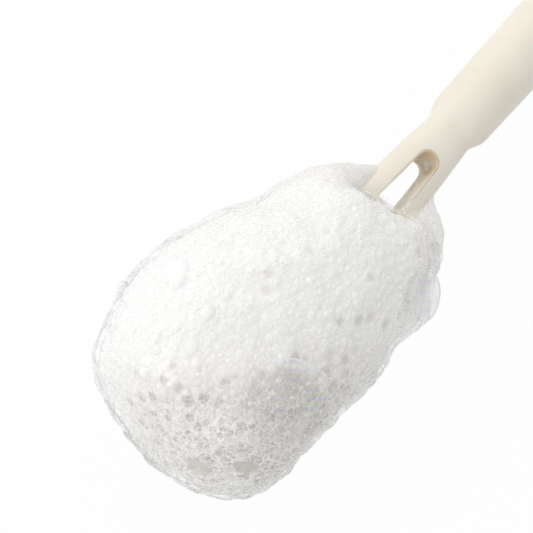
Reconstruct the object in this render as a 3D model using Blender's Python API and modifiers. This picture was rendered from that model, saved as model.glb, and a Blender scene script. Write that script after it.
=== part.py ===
"""Cup brush lying on its side: a moulded handle with a forked spine, a sponge head on it, and soap lather.

Every piece is modelled along the brush's own axis, which is local Z. The shoulder, where the round grip
ends and the neck begins, is at Z 0. Plus Z runs to the rear of the handle and minus Z to the tip of the
head. Local Y is the width of the fork, and local X its depth, with plus X towards the floor. One empty
then lays the whole brush down, so that the head's flattened underside and the rear of the grip both
touch the floor.
"""

import math
import random

import bmesh
import bpy
from mathutils import Vector

# Clearances
SEAT_GAP = 0.0003
FLUSH_GAP = 0.00015
LATHER_GAP = 0.0007

# Grip
GRIP_LENGTH = 0.112
GRIP_FRONT_RADIUS = 0.0090
GRIP_BELLY_RADIUS = 0.0098
GRIP_BELLY_AT = 0.062
GRIP_REAR_RADIUS = 0.0092
GRIP_REAR_ROUND = 0.0008
BORE_RADIUS = 0.0060
BORE_DEPTH = 0.100

# Neck and forked spine
SHOULDER_LENGTH = 0.0062
SHOULDER_DOME = 1.6
NECK_HALF_WIDTH = 0.0070
NECK_HALF_DEPTH = 0.0062
FORK_HALF_DEPTH = 0.0060
FLARE_SLOPE = 0.10
SPINE_HALF_WIDTH = 0.0114
SPINE_HALF_DEPTH = 0.0036
SPINE_THINS_FROM = 0.034
SPINE_THINS_TO = 0.052
SPINE_END_ROUND = 0.0080
SPINE_END_TURN = 82.0
SPINE_END_THINS_TO = 0.7
RAIL_WIDTH = 0.0054
FIRST_WINDOW_AT = 0.0156
FIRST_WINDOW_LENGTH = 0.0250
RUNG_HEIGHT = 0.0055
INNER_WINDOWS = 2
END_BAR = 0.0075
WINDOW_RIM = 0.0010
WINDOW_END_STEPS = 8
ROUND_SECTION = 2.0
NECK_SECTION = 2.25
SPINE_SECTION = 3.2

# Hanging cap
CAP_LENGTH = 0.021
CAP_DOME = 0.85
CAP_DOME_STEPS = 9
CAP_STEP_IN = 0.0004
CAP_HALF_THICKNESS = 0.0044
CAP_FLAT_FROM = 0.0030
CAP_SPIGOT_LENGTH = 0.014
CAP_SPIGOT_WALL = 0.0014
CAP_SPIGOT_CONE = 0.0014
CAP_RIB = 0.0002
CAP_RIBS = 3
CAP_RIB_SHARE = 0.3
HANG_HOLE_HALF_WIDTH = 0.0036
HANG_HOLE_LENGTH = 0.0112
HANG_HOLE_FROM_TOP = 0.0040
HANG_HOLE_RIM = 0.0006

# Sponge head
HEAD_TOP = 0.0378
HEAD_LENGTH = 0.0880
HEAD_HALF_WIDTH = 0.0215
HEAD_HALF_DEPTH = 0.0205
HEAD_SECTION = 2.5
HEAD_PROFILE = 2.8
HEAD_END_SHARE = 0.12
HEAD_BEYOND_SPINE = 0.0088
SPINE_LENGTH = HEAD_TOP + HEAD_LENGTH - HEAD_BEYOND_SPINE
SLEEVE_THICKNESS = 0.0007
SLEEVE_EDGE = 0.0013
SEAM_RADIUS = 0.0008

# Lather: how far down the head each station lies, as a share of the head's length, then its reach to
# plus Y, minus Y, up and down, as shares of the head's half width and half depth
LATHER_STATIONS = (
    (-0.0636, 0.1860, 0.1860, 0.1463, 0.1463),
    (-0.0580, 0.5674, 0.6884, 0.2049, 0.2049),
    (-0.0364, 0.6605, 0.8372, 0.2439, 0.2439),
    (-0.0227, 0.6977, 0.8651, 0.5463, 0.5463),
    (0.0250, 0.8186, 0.9395, 0.8293, 0.8537),
    (0.1386, 1.0791, 1.3395, 1.1610, 1.1805),
    (0.2750, 1.2186, 1.2837, 1.3073, 1.3073),
    (0.4341, 1.4837, 1.3023, 1.3902, 1.3902),
    (0.5932, 1.6837, 1.2744, 1.4390, 1.4146),
    (0.7523, 1.7023, 1.2326, 1.4390, 1.4146),
    (0.9000, 1.5953, 1.2093, 1.3659, 1.3659),
    (1.0068, 1.3116, 1.0512, 1.1707, 1.1707),
    (1.0625, 0.9302, 0.6419, 0.8293, 0.8293),
    (1.0795, 0.5674, 0.3070, 0.3902, 0.3902),
)
LATHER_SECTION = 2.15
LATHER_STEPS = 3
LATHER_SIDES = 46
LUMP_COUNT = 150
LUMP_RADIUS_LEAST = 0.0030
LUMP_RADIUS_MOST = 0.0085
LUMP_SPREAD = 2.2
LUMP_RISE = 0.22
LUMP_SEED = 7
LUMPS_FROM = 0.36
LUMPS_TO = 0.97

# How the brush lies: the point under the head that becomes the origin, and the floor
REST_BELOW_SHOULDER = 0.080
REST_DEPTH = 0.0272

# Facets
GRIP_SIDES = 28
GRIP_RINGS = 9
SHOULDER_RINGS = 8
SPINE_RINGS = 22
HEAD_SIDES = 28
HEAD_RINGS = 14
CAP_STEPS = 20
SEAM_SIDES = 8
SHARP_ANGLE = 35.0


def clear_scene():
    for item in list(bpy.data.objects):
        bpy.data.objects.remove(item, do_unlink=True)


def collection(name):
    made = bpy.data.collections.new(name)
    bpy.context.scene.collection.children.link(made)
    return made


def material(name, colour, roughness):
    made = bpy.data.materials.new(name)
    made.use_nodes = True
    shader = made.node_tree.nodes["Principled BSDF"]
    shader.inputs["Base Color"].default_value = (*colour, 1.0)
    shader.inputs["Roughness"].default_value = roughness
    shader.inputs["Metallic"].default_value = 0.0
    made.diffuse_color = (*colour, 1.0)
    return made


def smoothstep(value, start, end):
    share = min(1.0, max(0.0, (value - start) / (end - start)))
    return share * share * (3.0 - 2.0 * share)


def mix(a, b, share):
    return a + (b - a) * share


def signed_power(value, exponent):
    return math.copysign(abs(value) ** exponent, value)


def oval_ring(z, half_width, half_depth, squareness, sides):
    """A closed superellipse at height z: squareness 2 is an ellipse, and more is boxier."""
    ring = []
    for k in range(sides):
        angle = 2.0 * math.pi * k / sides
        x = half_depth * signed_power(math.cos(angle), 2.0 / squareness)
        y = half_width * signed_power(math.sin(angle), 2.0 / squareness)
        ring.append(Vector((x, y, z)))
    return ring


def loft(name, rings, closed_ends=True):
    """Joins rings of equal count, in order, into one skin with flat ends."""
    mesh = bpy.data.meshes.new(name)
    shape = bmesh.new()
    rows = [[shape.verts.new(point) for point in ring] for ring in rings]
    sides = len(rings[0])
    for low, high in zip(rows, rows[1:]):
        for k in range(sides):
            after = (k + 1) % sides
            shape.faces.new((low[k], low[after], high[after], high[k]))
    if closed_ends:
        shape.faces.new(list(reversed(rows[0])))
        shape.faces.new(rows[-1])
    bmesh.ops.recalc_face_normals(shape, faces=shape.faces)
    shape.to_mesh(mesh)
    shape.free()
    mesh.shade_smooth()
    return bpy.data.objects.new(name, mesh)


def place(item, group, root, skin=None):
    group.objects.link(item)
    item.parent = root
    if skin:
        item.data.materials.append(skin)
        item.data.set_sharp_from_angle(angle=math.radians(SHARP_ANGLE))
    return item


def as_cutter(item, group, root=None):
    group.objects.link(item)
    item.parent = root
    item.hide_render = True
    item.display_type = "WIRE"
    return item


def boolean(item, other, operation="DIFFERENCE"):
    step = item.modifiers.new(f"{operation.title()} {other.name}", "BOOLEAN")
    step.operation = operation
    step.object = other
    step.solver = "EXACT"
    return step


def grip_radius(z):
    if z < GRIP_BELLY_AT:
        share = math.sin(0.5 * math.pi * z / GRIP_BELLY_AT)
        return mix(GRIP_FRONT_RADIUS, GRIP_BELLY_RADIUS, share)
    share = 0.5 - 0.5 * math.cos(math.pi * (z - GRIP_BELLY_AT) / (GRIP_LENGTH - GRIP_BELLY_AT))
    return mix(GRIP_BELLY_RADIUS, GRIP_REAR_RADIUS, share)


def fork_half_width(depth):
    """Half width of the neck and spine at a depth below the shoulder: it flares, then levels off."""
    spread = SPINE_HALF_WIDTH - NECK_HALF_WIDTH
    beyond = max(0.0, depth - SHOULDER_LENGTH)
    return SPINE_HALF_WIDTH - spread * math.exp(-FLARE_SLOPE * beyond / spread)


def fork_half_depth(depth):
    to_fork = smoothstep(depth, SHOULDER_LENGTH, FIRST_WINDOW_AT)
    to_spine = smoothstep(depth, SPINE_THINS_FROM, SPINE_THINS_TO)
    return mix(mix(NECK_HALF_DEPTH, FORK_HALF_DEPTH, to_fork), SPINE_HALF_DEPTH, to_spine)


def fork_section(depth):
    share = smoothstep(depth, SPINE_THINS_FROM, SPINE_THINS_TO)
    return mix(NECK_SECTION, SPINE_SECTION, share)


def spine_rings(grow, start):
    """Rings of the neck and spine from a start depth down to the rounded end, grown by a clearance."""
    rings = []
    straight_end = SPINE_LENGTH - SPINE_END_ROUND
    for k in range(SPINE_RINGS + 1):
        depth = mix(start, straight_end, k / SPINE_RINGS)
        half_width = fork_half_width(depth) + grow
        half_depth = fork_half_depth(depth) + grow
        rings.append(oval_ring(-depth, half_width, half_depth, fork_section(depth), GRIP_SIDES))
    turns = 5
    for k in range(1, turns + 1):
        angle = math.radians(SPINE_END_TURN) * k / turns
        depth = straight_end + (SPINE_END_ROUND + grow) * math.sin(angle)
        half_width = fork_half_width(depth) + grow - SPINE_END_ROUND * (1.0 - math.cos(angle))
        thins = mix(1.0, SPINE_END_THINS_TO, 1.0 - math.cos(angle))
        half_depth = (fork_half_depth(depth) + grow) * thins
        rings.append(oval_ring(-depth, half_width, half_depth, SPINE_SECTION, GRIP_SIDES))
    return rings


def grip_rings():
    """Rings from the rear face of the grip, over its belly, down the shoulder to the neck."""
    rings = []
    for angle in (0.0, 30.0, 60.0, 90.0):
        turn = math.radians(angle)
        z = GRIP_LENGTH - GRIP_REAR_ROUND * (1.0 - math.sin(turn))
        radius = GRIP_REAR_RADIUS - GRIP_REAR_ROUND * (1.0 - math.cos(turn))
        rings.append((z, radius))
    rings.reverse()
    for k in range(1, GRIP_RINGS + 1):
        z = mix(GRIP_LENGTH - GRIP_REAR_ROUND, 0.0, k / GRIP_RINGS)
        rings.append((z, grip_radius(z)))
    made = [oval_ring(z, radius, radius, ROUND_SECTION, GRIP_SIDES) for z, radius in rings]
    for k in range(1, SHOULDER_RINGS):
        along = math.sin(0.5 * math.pi * k / SHOULDER_RINGS)
        share = smoothstep(along, 0.0, 1.0)
        dome = 1.0 - (1.0 - along**SHOULDER_DOME) ** (1.0 / SHOULDER_DOME)
        half_width = mix(GRIP_FRONT_RADIUS, NECK_HALF_WIDTH, share)
        half_depth = mix(GRIP_FRONT_RADIUS, NECK_HALF_DEPTH, dome)
        section = mix(ROUND_SECTION, NECK_SECTION, share)
        made.append(oval_ring(-SHOULDER_LENGTH * along, half_width, half_depth, section, GRIP_SIDES))
    return made


def window_spans():
    """The depth below the shoulder where each window of the fork starts and ends."""
    spans = [(FIRST_WINDOW_AT, FIRST_WINDOW_AT + FIRST_WINDOW_LENGTH)]
    start = spans[0][1] + RUNG_HEIGHT
    inner = SPINE_LENGTH - END_BAR - start
    length = (inner - RUNG_HEIGHT * (INNER_WINDOWS - 1)) / INNER_WINDOWS
    for k in range(INNER_WINDOWS):
        top = start + k * (length + RUNG_HEIGHT)
        spans.append((top, top + length))
    return spans


def stadium(top, bottom, half_top, half_bottom, grow):
    """A long hole with round ends, in the plane of Y and Z, between two depths below the shoulder."""
    points = []
    ends = ((0.0, -(top + half_top), half_top), (math.pi, half_bottom - bottom, half_bottom))
    for start, centre, half in ends:
        for k in range(WINDOW_END_STEPS + 1):
            angle = start + math.pi * k / WINDOW_END_STEPS
            points.append(((half + grow) * math.cos(angle), centre + (half + grow) * math.sin(angle)))
    return points


def rim_levels(face_depth, rim):
    """How far along X a hole's outline has grown by how much, so that the rims at both faces are round."""
    clear = 4.0 * rim
    side = [(face_depth + clear, rim + clear)]
    for angle in (90.0, 60.0, 30.0, 0.0):
        turn = math.radians(angle)
        side.append((face_depth - rim + rim * math.sin(turn), rim - rim * math.cos(turn)))
    return [(-x, grow) for x, grow in side] + [(x, grow) for x, grow in reversed(side)]


def through_cutter(name, outline, levels):
    """A cutter that runs through along X, with its outline grown at each level as the level says."""
    rings = [[Vector((x, y, z)) for y, z in outline(grow)] for x, grow in levels]
    return loft(name, rings)


def window_cutter(name, top, bottom, clearance, levels):
    """A window of the fork between two depths, less a clearance all round for what fills it."""
    half_top = fork_half_width(top + RAIL_WIDTH) - RAIL_WIDTH - clearance
    half_bottom = fork_half_width(bottom - RAIL_WIDTH) - RAIL_WIDTH - clearance

    def outline(grow):
        return stadium(top + clearance, bottom - clearance, half_top, half_bottom, grow)

    return through_cutter(name, outline, levels)


def turned(name, profile, steps):
    """A solid of revolution about Z from a profile of radius and height, run from its top downwards."""
    mesh = bpy.data.meshes.new(name)
    points = [(radius, 0.0, z) for radius, z in profile]
    mesh.from_pydata(points, [(k, k + 1) for k in range(len(points) - 1)], [])
    item = bpy.data.objects.new(name, mesh)
    screw = item.modifiers.new("Turn", "SCREW")
    screw.axis = "Z"
    screw.steps = steps
    screw.render_steps = steps
    screw.use_merge_vertices = True
    screw.merge_threshold = 0.00001
    screw.use_smooth_shade = True
    return item


def make_handle(group, cutters, root, skin):
    handle = loft("handle", grip_rings() + spine_rings(0.0, SHOULDER_LENGTH))
    place(handle, group, root, skin)
    for number, (top, bottom) in enumerate(window_spans(), start=1):
        levels = rim_levels(fork_half_depth(0.5 * (top + bottom)), WINDOW_RIM)
        cutter = window_cutter(f"window_{number}_cutter", top, bottom, 0.0, levels)
        boolean(handle, as_cutter(cutter, cutters, root))
    end = GRIP_LENGTH - BORE_DEPTH
    bore_profile = [(0.0, GRIP_LENGTH + BORE_RADIUS), (BORE_RADIUS, GRIP_LENGTH + BORE_RADIUS)]
    for angle in (0.0, 22.5, 45.0, 67.5, 90.0):
        turn = math.radians(angle)
        drop = BORE_RADIUS * (1.0 - math.sin(turn))
        bore_profile.append((BORE_RADIUS * math.cos(turn), end + drop))
    boolean(handle, as_cutter(turned("bore_cutter", bore_profile, CAP_STEPS), cutters, root))
    return handle


def cap_profile():
    """Outline of the hanging cap: its dome, the face on the grip, and the hollow spigot in the bore."""
    seat = GRIP_LENGTH + SEAT_GAP
    radius = GRIP_REAR_RADIUS - GRIP_REAR_ROUND - CAP_STEP_IN + SEAT_GAP
    points = []
    for k in range(CAP_DOME_STEPS + 1):
        angle = 0.5 * math.pi * k / CAP_DOME_STEPS
        points.append((radius * math.sin(angle) ** CAP_DOME, seat + CAP_LENGTH * math.cos(angle)))
    spigot = BORE_RADIUS - SEAT_GAP
    rib_pitch = CAP_SPIGOT_LENGTH / (CAP_RIBS + 1)
    points.append((spigot - CAP_RIB, seat))
    for k in range(1, CAP_RIBS + 1):
        middle = seat - rib_pitch * k
        points.append((spigot - CAP_RIB, middle + CAP_RIB_SHARE * rib_pitch))
        points.append((spigot, middle))
        points.append((spigot - CAP_RIB, middle - CAP_RIB_SHARE * rib_pitch))
    points.append((spigot - 2.0 * CAP_RIB, seat - CAP_SPIGOT_LENGTH))
    points.append((spigot - CAP_SPIGOT_WALL, seat - CAP_SPIGOT_LENGTH))
    points.append((spigot - CAP_SPIGOT_WALL, seat - CAP_SPIGOT_CONE))
    points.append((0.0, seat))
    return points


def make_hang_cap(group, cutters, root, skin):
    cap = place(turned("hang_cap", cap_profile(), CAP_STEPS), group, root, skin)
    seat = GRIP_LENGTH + SEAT_GAP
    for side in (-1.0, 1.0):
        flat = bpy.data.meshes.new("cap_flat_cutter")
        shape = bmesh.new()
        bmesh.ops.create_cube(shape, size=1.0)
        reach = GRIP_REAR_RADIUS
        bmesh.ops.scale(shape, vec=(reach, 3.0 * reach, CAP_LENGTH), verts=shape.verts)
        centre = (side * (CAP_HALF_THICKNESS + 0.5 * reach), 0.0, seat + CAP_FLAT_FROM + 0.5 * CAP_LENGTH)
        bmesh.ops.translate(shape, vec=centre, verts=shape.verts)
        shape.to_mesh(flat)
        shape.free()
        name = "cap_flat_cutter_low" if side > 0.0 else "cap_flat_cutter_high"
        boolean(cap, as_cutter(bpy.data.objects.new(name, flat), cutters, root))
    far_end = seat + CAP_LENGTH - HANG_HOLE_FROM_TOP
    half = HANG_HOLE_HALF_WIDTH

    def outline(grow):
        return stadium(-far_end, -far_end + HANG_HOLE_LENGTH, half, half, grow)

    hole = through_cutter("hang_hole_cutter", outline, rim_levels(CAP_HALF_THICKNESS, HANG_HOLE_RIM))
    boolean(cap, as_cutter(hole, cutters, root))
    return cap


def head_share(depth, grow):
    """How wide the barrel is at a depth below the shoulder, as a share of its widest section."""
    half = 0.5 * HEAD_LENGTH + grow
    along = min(1.0, abs(depth - HEAD_TOP - 0.5 * HEAD_LENGTH) / half)
    return (1.0 - along**HEAD_PROFILE) ** (1.0 / HEAD_PROFILE)


def head_depth(share, grow):
    """The depth of the ring, on the top half of the barrel, whose width is this share of the widest."""
    along = (1.0 - share**HEAD_PROFILE) ** (1.0 / HEAD_PROFILE)
    return HEAD_TOP + 0.5 * HEAD_LENGTH - along * (0.5 * HEAD_LENGTH + grow)


def head_depths(grow, least_share):
    """Depths of the barrel's rings, close together where the ends round over."""
    top = head_depth(least_share, grow)
    bottom = 2.0 * (HEAD_TOP + 0.5 * HEAD_LENGTH) - head_depth(HEAD_END_SHARE, grow)
    middle, reach = 0.5 * (top + bottom), 0.5 * (bottom - top)
    return [middle - reach * math.cos(math.pi * k / HEAD_RINGS) for k in range(HEAD_RINGS + 1)]


def head_ring(depth, grow, sides=HEAD_SIDES):
    share = head_share(depth, grow)
    half_width = (HEAD_HALF_WIDTH + grow) * share
    half_depth = (HEAD_HALF_DEPTH + grow) * share
    return oval_ring(-depth, half_width, half_depth, HEAD_SECTION, sides)


def barrel(name, grow):
    return loft(name, [head_ring(depth, grow) for depth in head_depths(grow, HEAD_END_SHARE)])


def half_space(name, side, start):
    """A box that covers everything on one side of the plane X = start."""
    mesh = bpy.data.meshes.new(name)
    shape = bmesh.new()
    bmesh.ops.create_cube(shape, size=1.0)
    reach = 3.0 * HEAD_HALF_WIDTH
    bmesh.ops.scale(shape, vec=(reach, 2.0 * reach, 2.0 * HEAD_LENGTH), verts=shape.verts)
    centre = (side * (start + 0.5 * reach), 0.0, -(HEAD_TOP + 0.5 * HEAD_LENGTH))
    bmesh.ops.translate(shape, vec=centre, verts=shape.verts)
    shape.to_mesh(mesh)
    shape.free()
    return bpy.data.objects.new(name, mesh)


def make_foam(group, cutters, root, skin):
    """Two sponge pads, bonded to each other through the spine's windows; returns the spine's room."""
    spine = as_cutter(loft("spine_room", spine_rings(SEAT_GAP, FIRST_WINDOW_AT)), cutters, root)
    reach = 2.0 * NECK_HALF_DEPTH
    for number, (top, bottom) in enumerate(window_spans(), start=1):
        levels = [(-reach, 0.0), (reach, 0.0)]
        cutter = window_cutter(f"window_{number}_filling", top, bottom, SEAT_GAP, levels)
        boolean(spine, as_cutter(cutter, cutters, root))
    for name, side in (("sponge_front", 1.0), ("sponge_back", -1.0)):
        pad = place(barrel(name, 0.0), group, root, skin)
        boolean(pad, as_cutter(half_space(f"{name}_trim", side, -FLUSH_GAP), cutters, root))
        boolean(pad, spine)
    return spine


def sleeve_panel(name, side):
    """One sewn half of the net sleeve: an open half barrel, from its mouth on the fork to the tip."""
    inner = SEAT_GAP
    mouth = (fork_half_width(HEAD_TOP) + SEAT_GAP + SLEEVE_EDGE) / (HEAD_HALF_WIDTH + inner)
    depths = head_depths(inner, mouth)
    half = HEAD_SIDES // 2
    shape = bmesh.new()
    rows = []
    for depth in depths:
        share = head_share(depth, inner)
        row = []
        for k in range(half + 1):
            angle = math.pi * k / half
            x = (HEAD_HALF_DEPTH + inner) * share * signed_power(math.sin(angle), 2.0 / HEAD_SECTION)
            y = (HEAD_HALF_WIDTH + inner) * share * signed_power(math.cos(angle), 2.0 / HEAD_SECTION)
            row.append(shape.verts.new((-side * max(x, SLEEVE_EDGE), y, -depth)))
        rows.append(row)
    for low, high in zip(rows, rows[1:]):
        for k in range(half):
            shape.faces.new((low[k], low[k + 1], high[k + 1], high[k]))
    for face in shape.faces:
        face.normal_update()
        outward = face.calc_center_median() + Vector((0.0, 0.0, HEAD_TOP + 0.5 * HEAD_LENGTH))
        if face.normal.dot(outward) < 0.0:
            face.normal_flip()
    mesh = bpy.data.meshes.new(name)
    shape.to_mesh(mesh)
    shape.free()
    mesh.shade_smooth()
    item = bpy.data.objects.new(name, mesh)
    wall = item.modifiers.new("Cloth", "SOLIDIFY")
    wall.thickness = SLEEVE_THICKNESS
    wall.offset = 1.0
    return item


def make_sleeve(group, root, skin):
    for name, side in (("sleeve_front", 1.0), ("sleeve_back", -1.0)):
        place(sleeve_panel(name, side), group, root, skin)


def seam_rings(radius, reach):
    """Rings of a round cord that runs down one side of the barrel, round its tip and up the other."""
    path_grow = SEAT_GAP + SEAM_RADIUS
    mouth = (fork_half_width(HEAD_TOP) + SEAT_GAP + SLEEVE_EDGE + reach) / (HEAD_HALF_WIDTH + path_grow)
    depths = head_depths(path_grow, mouth)
    tip = HEAD_TOP + HEAD_LENGTH + path_grow
    side = [((HEAD_HALF_WIDTH + path_grow) * head_share(depth, path_grow), -depth) for depth in depths]
    path = side + [(0.0, -tip)] + [(-y, z) for y, z in reversed(side)]
    rings = []
    for k, (y, z) in enumerate(path):
        before, after = path[max(0, k - 1)], path[min(len(path) - 1, k + 1)]
        ahead = Vector((0.0, after[0] - before[0], after[1] - before[1])).normalized()
        out = ahead.cross(Vector((1.0, 0.0, 0.0)))
        ring = []
        for turn in range(SEAM_SIDES):
            angle = 2.0 * math.pi * turn / SEAM_SIDES
            over = Vector((radius * math.sin(angle), 0.0, 0.0))
            ring.append(Vector((0.0, y, z)) + out * radius * math.cos(angle) + over)
        rings.append(ring)
    return rings


def make_seam(group, root, skin):
    place(loft("edge_seam", seam_rings(SEAM_RADIUS, 0.0)), group, root, skin)


def curve_value(before, start, end, after, t):
    """A smooth curve through start and end, at t between them, that leans towards its neighbours."""
    slope = end - before
    bend = 2.0 * before - 5.0 * start + 4.0 * end - after
    twist = 3.0 * (start - end) - before + after
    return start + 0.5 * (slope * t + bend * t**2 + twist * t**3)


def lather_profile(share):
    """Depth and the four reaches of the lather, on a smooth curve through its stations."""
    last = len(LATHER_STATIONS) - 1
    position = share * last
    k = min(int(position), last - 1)
    t = position - k
    around = [LATHER_STATIONS[min(last, max(0, k + step))] for step in (-1, 0, 1, 2)]
    down_head, left, right, up, down = (curve_value(*four, t) for four in zip(*around))
    depth = HEAD_TOP + HEAD_LENGTH * down_head
    left, right = left * HEAD_HALF_WIDTH, right * HEAD_HALF_WIDTH
    return depth, left, right, up * HEAD_HALF_DEPTH, down * HEAD_HALF_DEPTH


def lather_point(share, angle):
    depth, left, right, up, down = lather_profile(share)
    across, over = math.sin(angle), math.cos(angle)
    half_width = left if across > 0.0 else right
    half_depth = down if over > 0.0 else up
    x = half_depth * signed_power(over, 2.0 / LATHER_SECTION)
    y = half_width * signed_power(across, 2.0 / LATHER_SECTION)
    return Vector((x, y, -depth))


def lather_normal(share, angle):
    step = 0.002
    along = lather_point(min(1.0, share + step), angle) - lather_point(max(0.0, share - step), angle)
    around = lather_point(share, angle + step) - lather_point(share, angle - step)
    return around.cross(along).normalized() * -1.0


def lather_lumps():
    """Centres and radii of the larger bubbles that push out of the lather's skin."""
    chance = random.Random(LUMP_SEED)
    golden = math.pi * (3.0 - math.sqrt(5.0))
    lumps = []
    for k in range(LUMP_COUNT):
        share = mix(LUMPS_FROM, LUMPS_TO, (k + 0.5) / LUMP_COUNT)
        angle = golden * k
        radius = mix(LUMP_RADIUS_LEAST, LUMP_RADIUS_MOST, chance.random() ** LUMP_SPREAD)
        normal = lather_normal(share, angle)
        centre = lather_point(share, angle) - normal * radius * (1.0 - LUMP_RISE)
        lumps.append((centre, radius))
    return lumps


def raised(point, normal, lumps):
    """The point, moved out along its normal to the skin of the furthest bubble it lies under."""
    rise = 0.0
    for centre, radius in lumps:
        gap = centre - point
        along = gap.dot(normal)
        inside = along * along - gap.length_squared + radius * radius
        if inside > 0.0:
            rise = max(rise, along + math.sqrt(inside))
    return point + normal * rise


def make_lather(group, cutters, root, skin, spine):
    lumps = lather_lumps()
    rings = []
    count = (len(LATHER_STATIONS) - 1) * LATHER_STEPS
    for k in range(count + 1):
        share = k / count
        ring = []
        for side in range(LATHER_SIDES):
            angle = 2.0 * math.pi * side / LATHER_SIDES
            point = lather_point(share, angle)
            if 0 < k < count:
                point = raised(point, lather_normal(share, angle), lumps)
            ring.append(point)
        rings.append(ring)
    lather = place(loft("lather", rings), group, root, skin)

    room = barrel("head_room", SEAT_GAP + SLEEVE_THICKNESS + LATHER_GAP)
    boolean(lather, as_cutter(room, cutters, root))
    boolean(lather, spine)
    groove = loft("seam_room", seam_rings(SEAM_RADIUS + SEAT_GAP, -SEAT_GAP))
    boolean(lather, as_cutter(groove, cutters, root))

    mesh = bpy.data.meshes.new("floor_cutter")
    shape = bmesh.new()
    bmesh.ops.create_cube(shape, size=1.0)
    bmesh.ops.scale(shape, vec=(4.0 * HEAD_LENGTH, 2.0 * HEAD_LENGTH, REST_DEPTH), verts=shape.verts)
    bmesh.ops.translate(shape, vec=(0.0, 0.0, -0.5 * REST_DEPTH), verts=shape.verts)
    shape.to_mesh(mesh)
    shape.free()
    boolean(lather, as_cutter(bpy.data.objects.new("floor_cutter", mesh), cutters))
    return lather


def lay_down(root):
    """Tilts the brush so that the head's underside and the rear edge of the grip share one floor."""
    tilt = math.atan((REST_DEPTH - GRIP_REAR_RADIUS) / (GRIP_LENGTH + REST_BELOW_SHOULDER))
    root.rotation_euler = (0.0, 0.5 * math.pi + tilt, 0.0)
    turned_to = root.rotation_euler.to_matrix()
    root.location = -(turned_to @ Vector((REST_DEPTH, 0.0, -REST_BELOW_SHOULDER)))


def main():
    clear_scene()
    parts = collection("cup_brush")
    cutters = collection("cutters")
    root = bpy.data.objects.new("cup_brush_axis", None)
    parts.objects.link(root)

    ivory = material("ivory_plastic", (0.87, 0.83, 0.72), 0.32)
    sponge = material("sponge_foam", (0.90, 0.86, 0.76), 0.95)
    net = material("net_cloth", (0.93, 0.92, 0.88), 0.85)
    thread = material("seam_thread", (0.92, 0.90, 0.86), 0.80)
    suds = material("soap_lather", (0.96, 0.96, 0.95), 0.35)

    lay_down(root)
    make_handle(parts, cutters, root, ivory)
    make_hang_cap(parts, cutters, root, ivory)
    spine = make_foam(parts, cutters, root, sponge)
    make_sleeve(parts, root, net)
    make_seam(parts, root, thread)
    make_lather(parts, cutters, root, suds, spine)
    bpy.context.view_layer.update()


main()
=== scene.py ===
"""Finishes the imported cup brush: ivory handle, sponge, net sleeve and soap lather, in a soft white studio.

Every piece is worked out along the brush's own axis, as the solids are. The shoulder, where the round
grip ends, is at height 0 on local Z, the handle's rear is at plus Z, and a "depth" is a distance below the
shoulder towards the tip. Local Y is the fork's width, and local X its depth, with plus X to the floor.
laid() then turns such points into the row frame, where the brush lies on its side.
"""

import math
import bpy
import numpy as np
from mathutils import Matrix, Vector
from mathutils.bvhtree import BVHTree
from mathutils.kdtree import KDTree


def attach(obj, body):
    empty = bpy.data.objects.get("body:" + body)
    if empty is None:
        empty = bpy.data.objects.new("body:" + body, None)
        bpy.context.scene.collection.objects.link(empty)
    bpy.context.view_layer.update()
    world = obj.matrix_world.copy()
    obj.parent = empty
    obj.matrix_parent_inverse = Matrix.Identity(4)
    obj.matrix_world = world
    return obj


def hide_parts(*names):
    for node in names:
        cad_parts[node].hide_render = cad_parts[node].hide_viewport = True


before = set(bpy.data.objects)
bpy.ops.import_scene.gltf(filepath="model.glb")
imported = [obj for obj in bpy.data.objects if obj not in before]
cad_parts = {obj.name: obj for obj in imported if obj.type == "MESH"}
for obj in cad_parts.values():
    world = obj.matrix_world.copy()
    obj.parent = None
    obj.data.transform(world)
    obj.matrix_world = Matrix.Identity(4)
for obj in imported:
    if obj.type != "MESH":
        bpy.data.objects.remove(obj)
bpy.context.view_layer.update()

bl_info = {
    "name": "Cup Brush Finish",
    "version": (1, 0, 0),
    "blender": (4, 5, 0),
    "location": "3D View > Sidebar > Cup Brush",
    "description": "Moulds, pads and lathers a cup brush round its packed solids",
    "category": "Object",
}

MM = 0.001
SEAT_GAP = 0.3 * MM
GRIP_LENGTH = 112.0 * MM
GRIP_REAR_RADIUS = 9.2 * MM
GRIP_REAR_ROUND = 0.8 * MM
GRIP_BELLY_AT = 62.0 * MM
SHOULDER_LENGTH = 6.2 * MM
SPINE_LENGTH = 117.0 * MM
SPINE_END_ROUND = 8.0 * MM
SPINE_THINS = (34.0 * MM, 52.0 * MM)
RAIL_WIDTH = 5.4 * MM
WINDOWS = ((16.9, 40.6), (46.1, 75.05), (80.55, 109.5))
HEAD_TOP = 37.8 * MM
HEAD_LENGTH = 88.0 * MM
HEAD_HALF_WIDTH = 21.5 * MM
HEAD_HALF_DEPTH = 20.5 * MM
HEAD_SECTION = 2.5
HEAD_PROFILE = 2.8
REST_BELOW_SHOULDER = 80.0 * MM
REST_DEPTH = 27.2 * MM
FORK_HALF_DEPTH = 6.0 * MM
SPINE_END_HALF_DEPTH = 3.6 * MM
NECK_SECTION = 2.25
SPINE_SECTION = 3.2
SHOULDER_DOME = 1.6
BORE_RADIUS = 6.0 * MM
BORE_END = 12.0 * MM
BORE_BEYOND = 2.0 * MM
CAP_STEP_IN = 0.4 * MM
CAP_LENGTH = 21.0 * MM
CAP_DOME = 0.85
CAP_HALF_THICKNESS = 4.4 * MM
CAP_FLAT_FROM = 3.0 * MM
CAP_FLAT_CUTTER = (10.0, 40.0, 24.0)
CAP_SPIGOT_RADIUS = 5.7 * MM
CAP_SPIGOT_LENGTH = 14.0 * MM
CAP_SPIGOT_WALL = 1.4 * MM
CAP_RIB = 0.2 * MM
CAP_RIB_PITCH = 3.5 * MM
HANG_HOLE_HALF_WIDTH = 3.6 * MM
HANG_HOLE_LENGTH = 11.2 * MM
HANG_HOLE_FROM_TOP = 4.0 * MM
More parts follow.
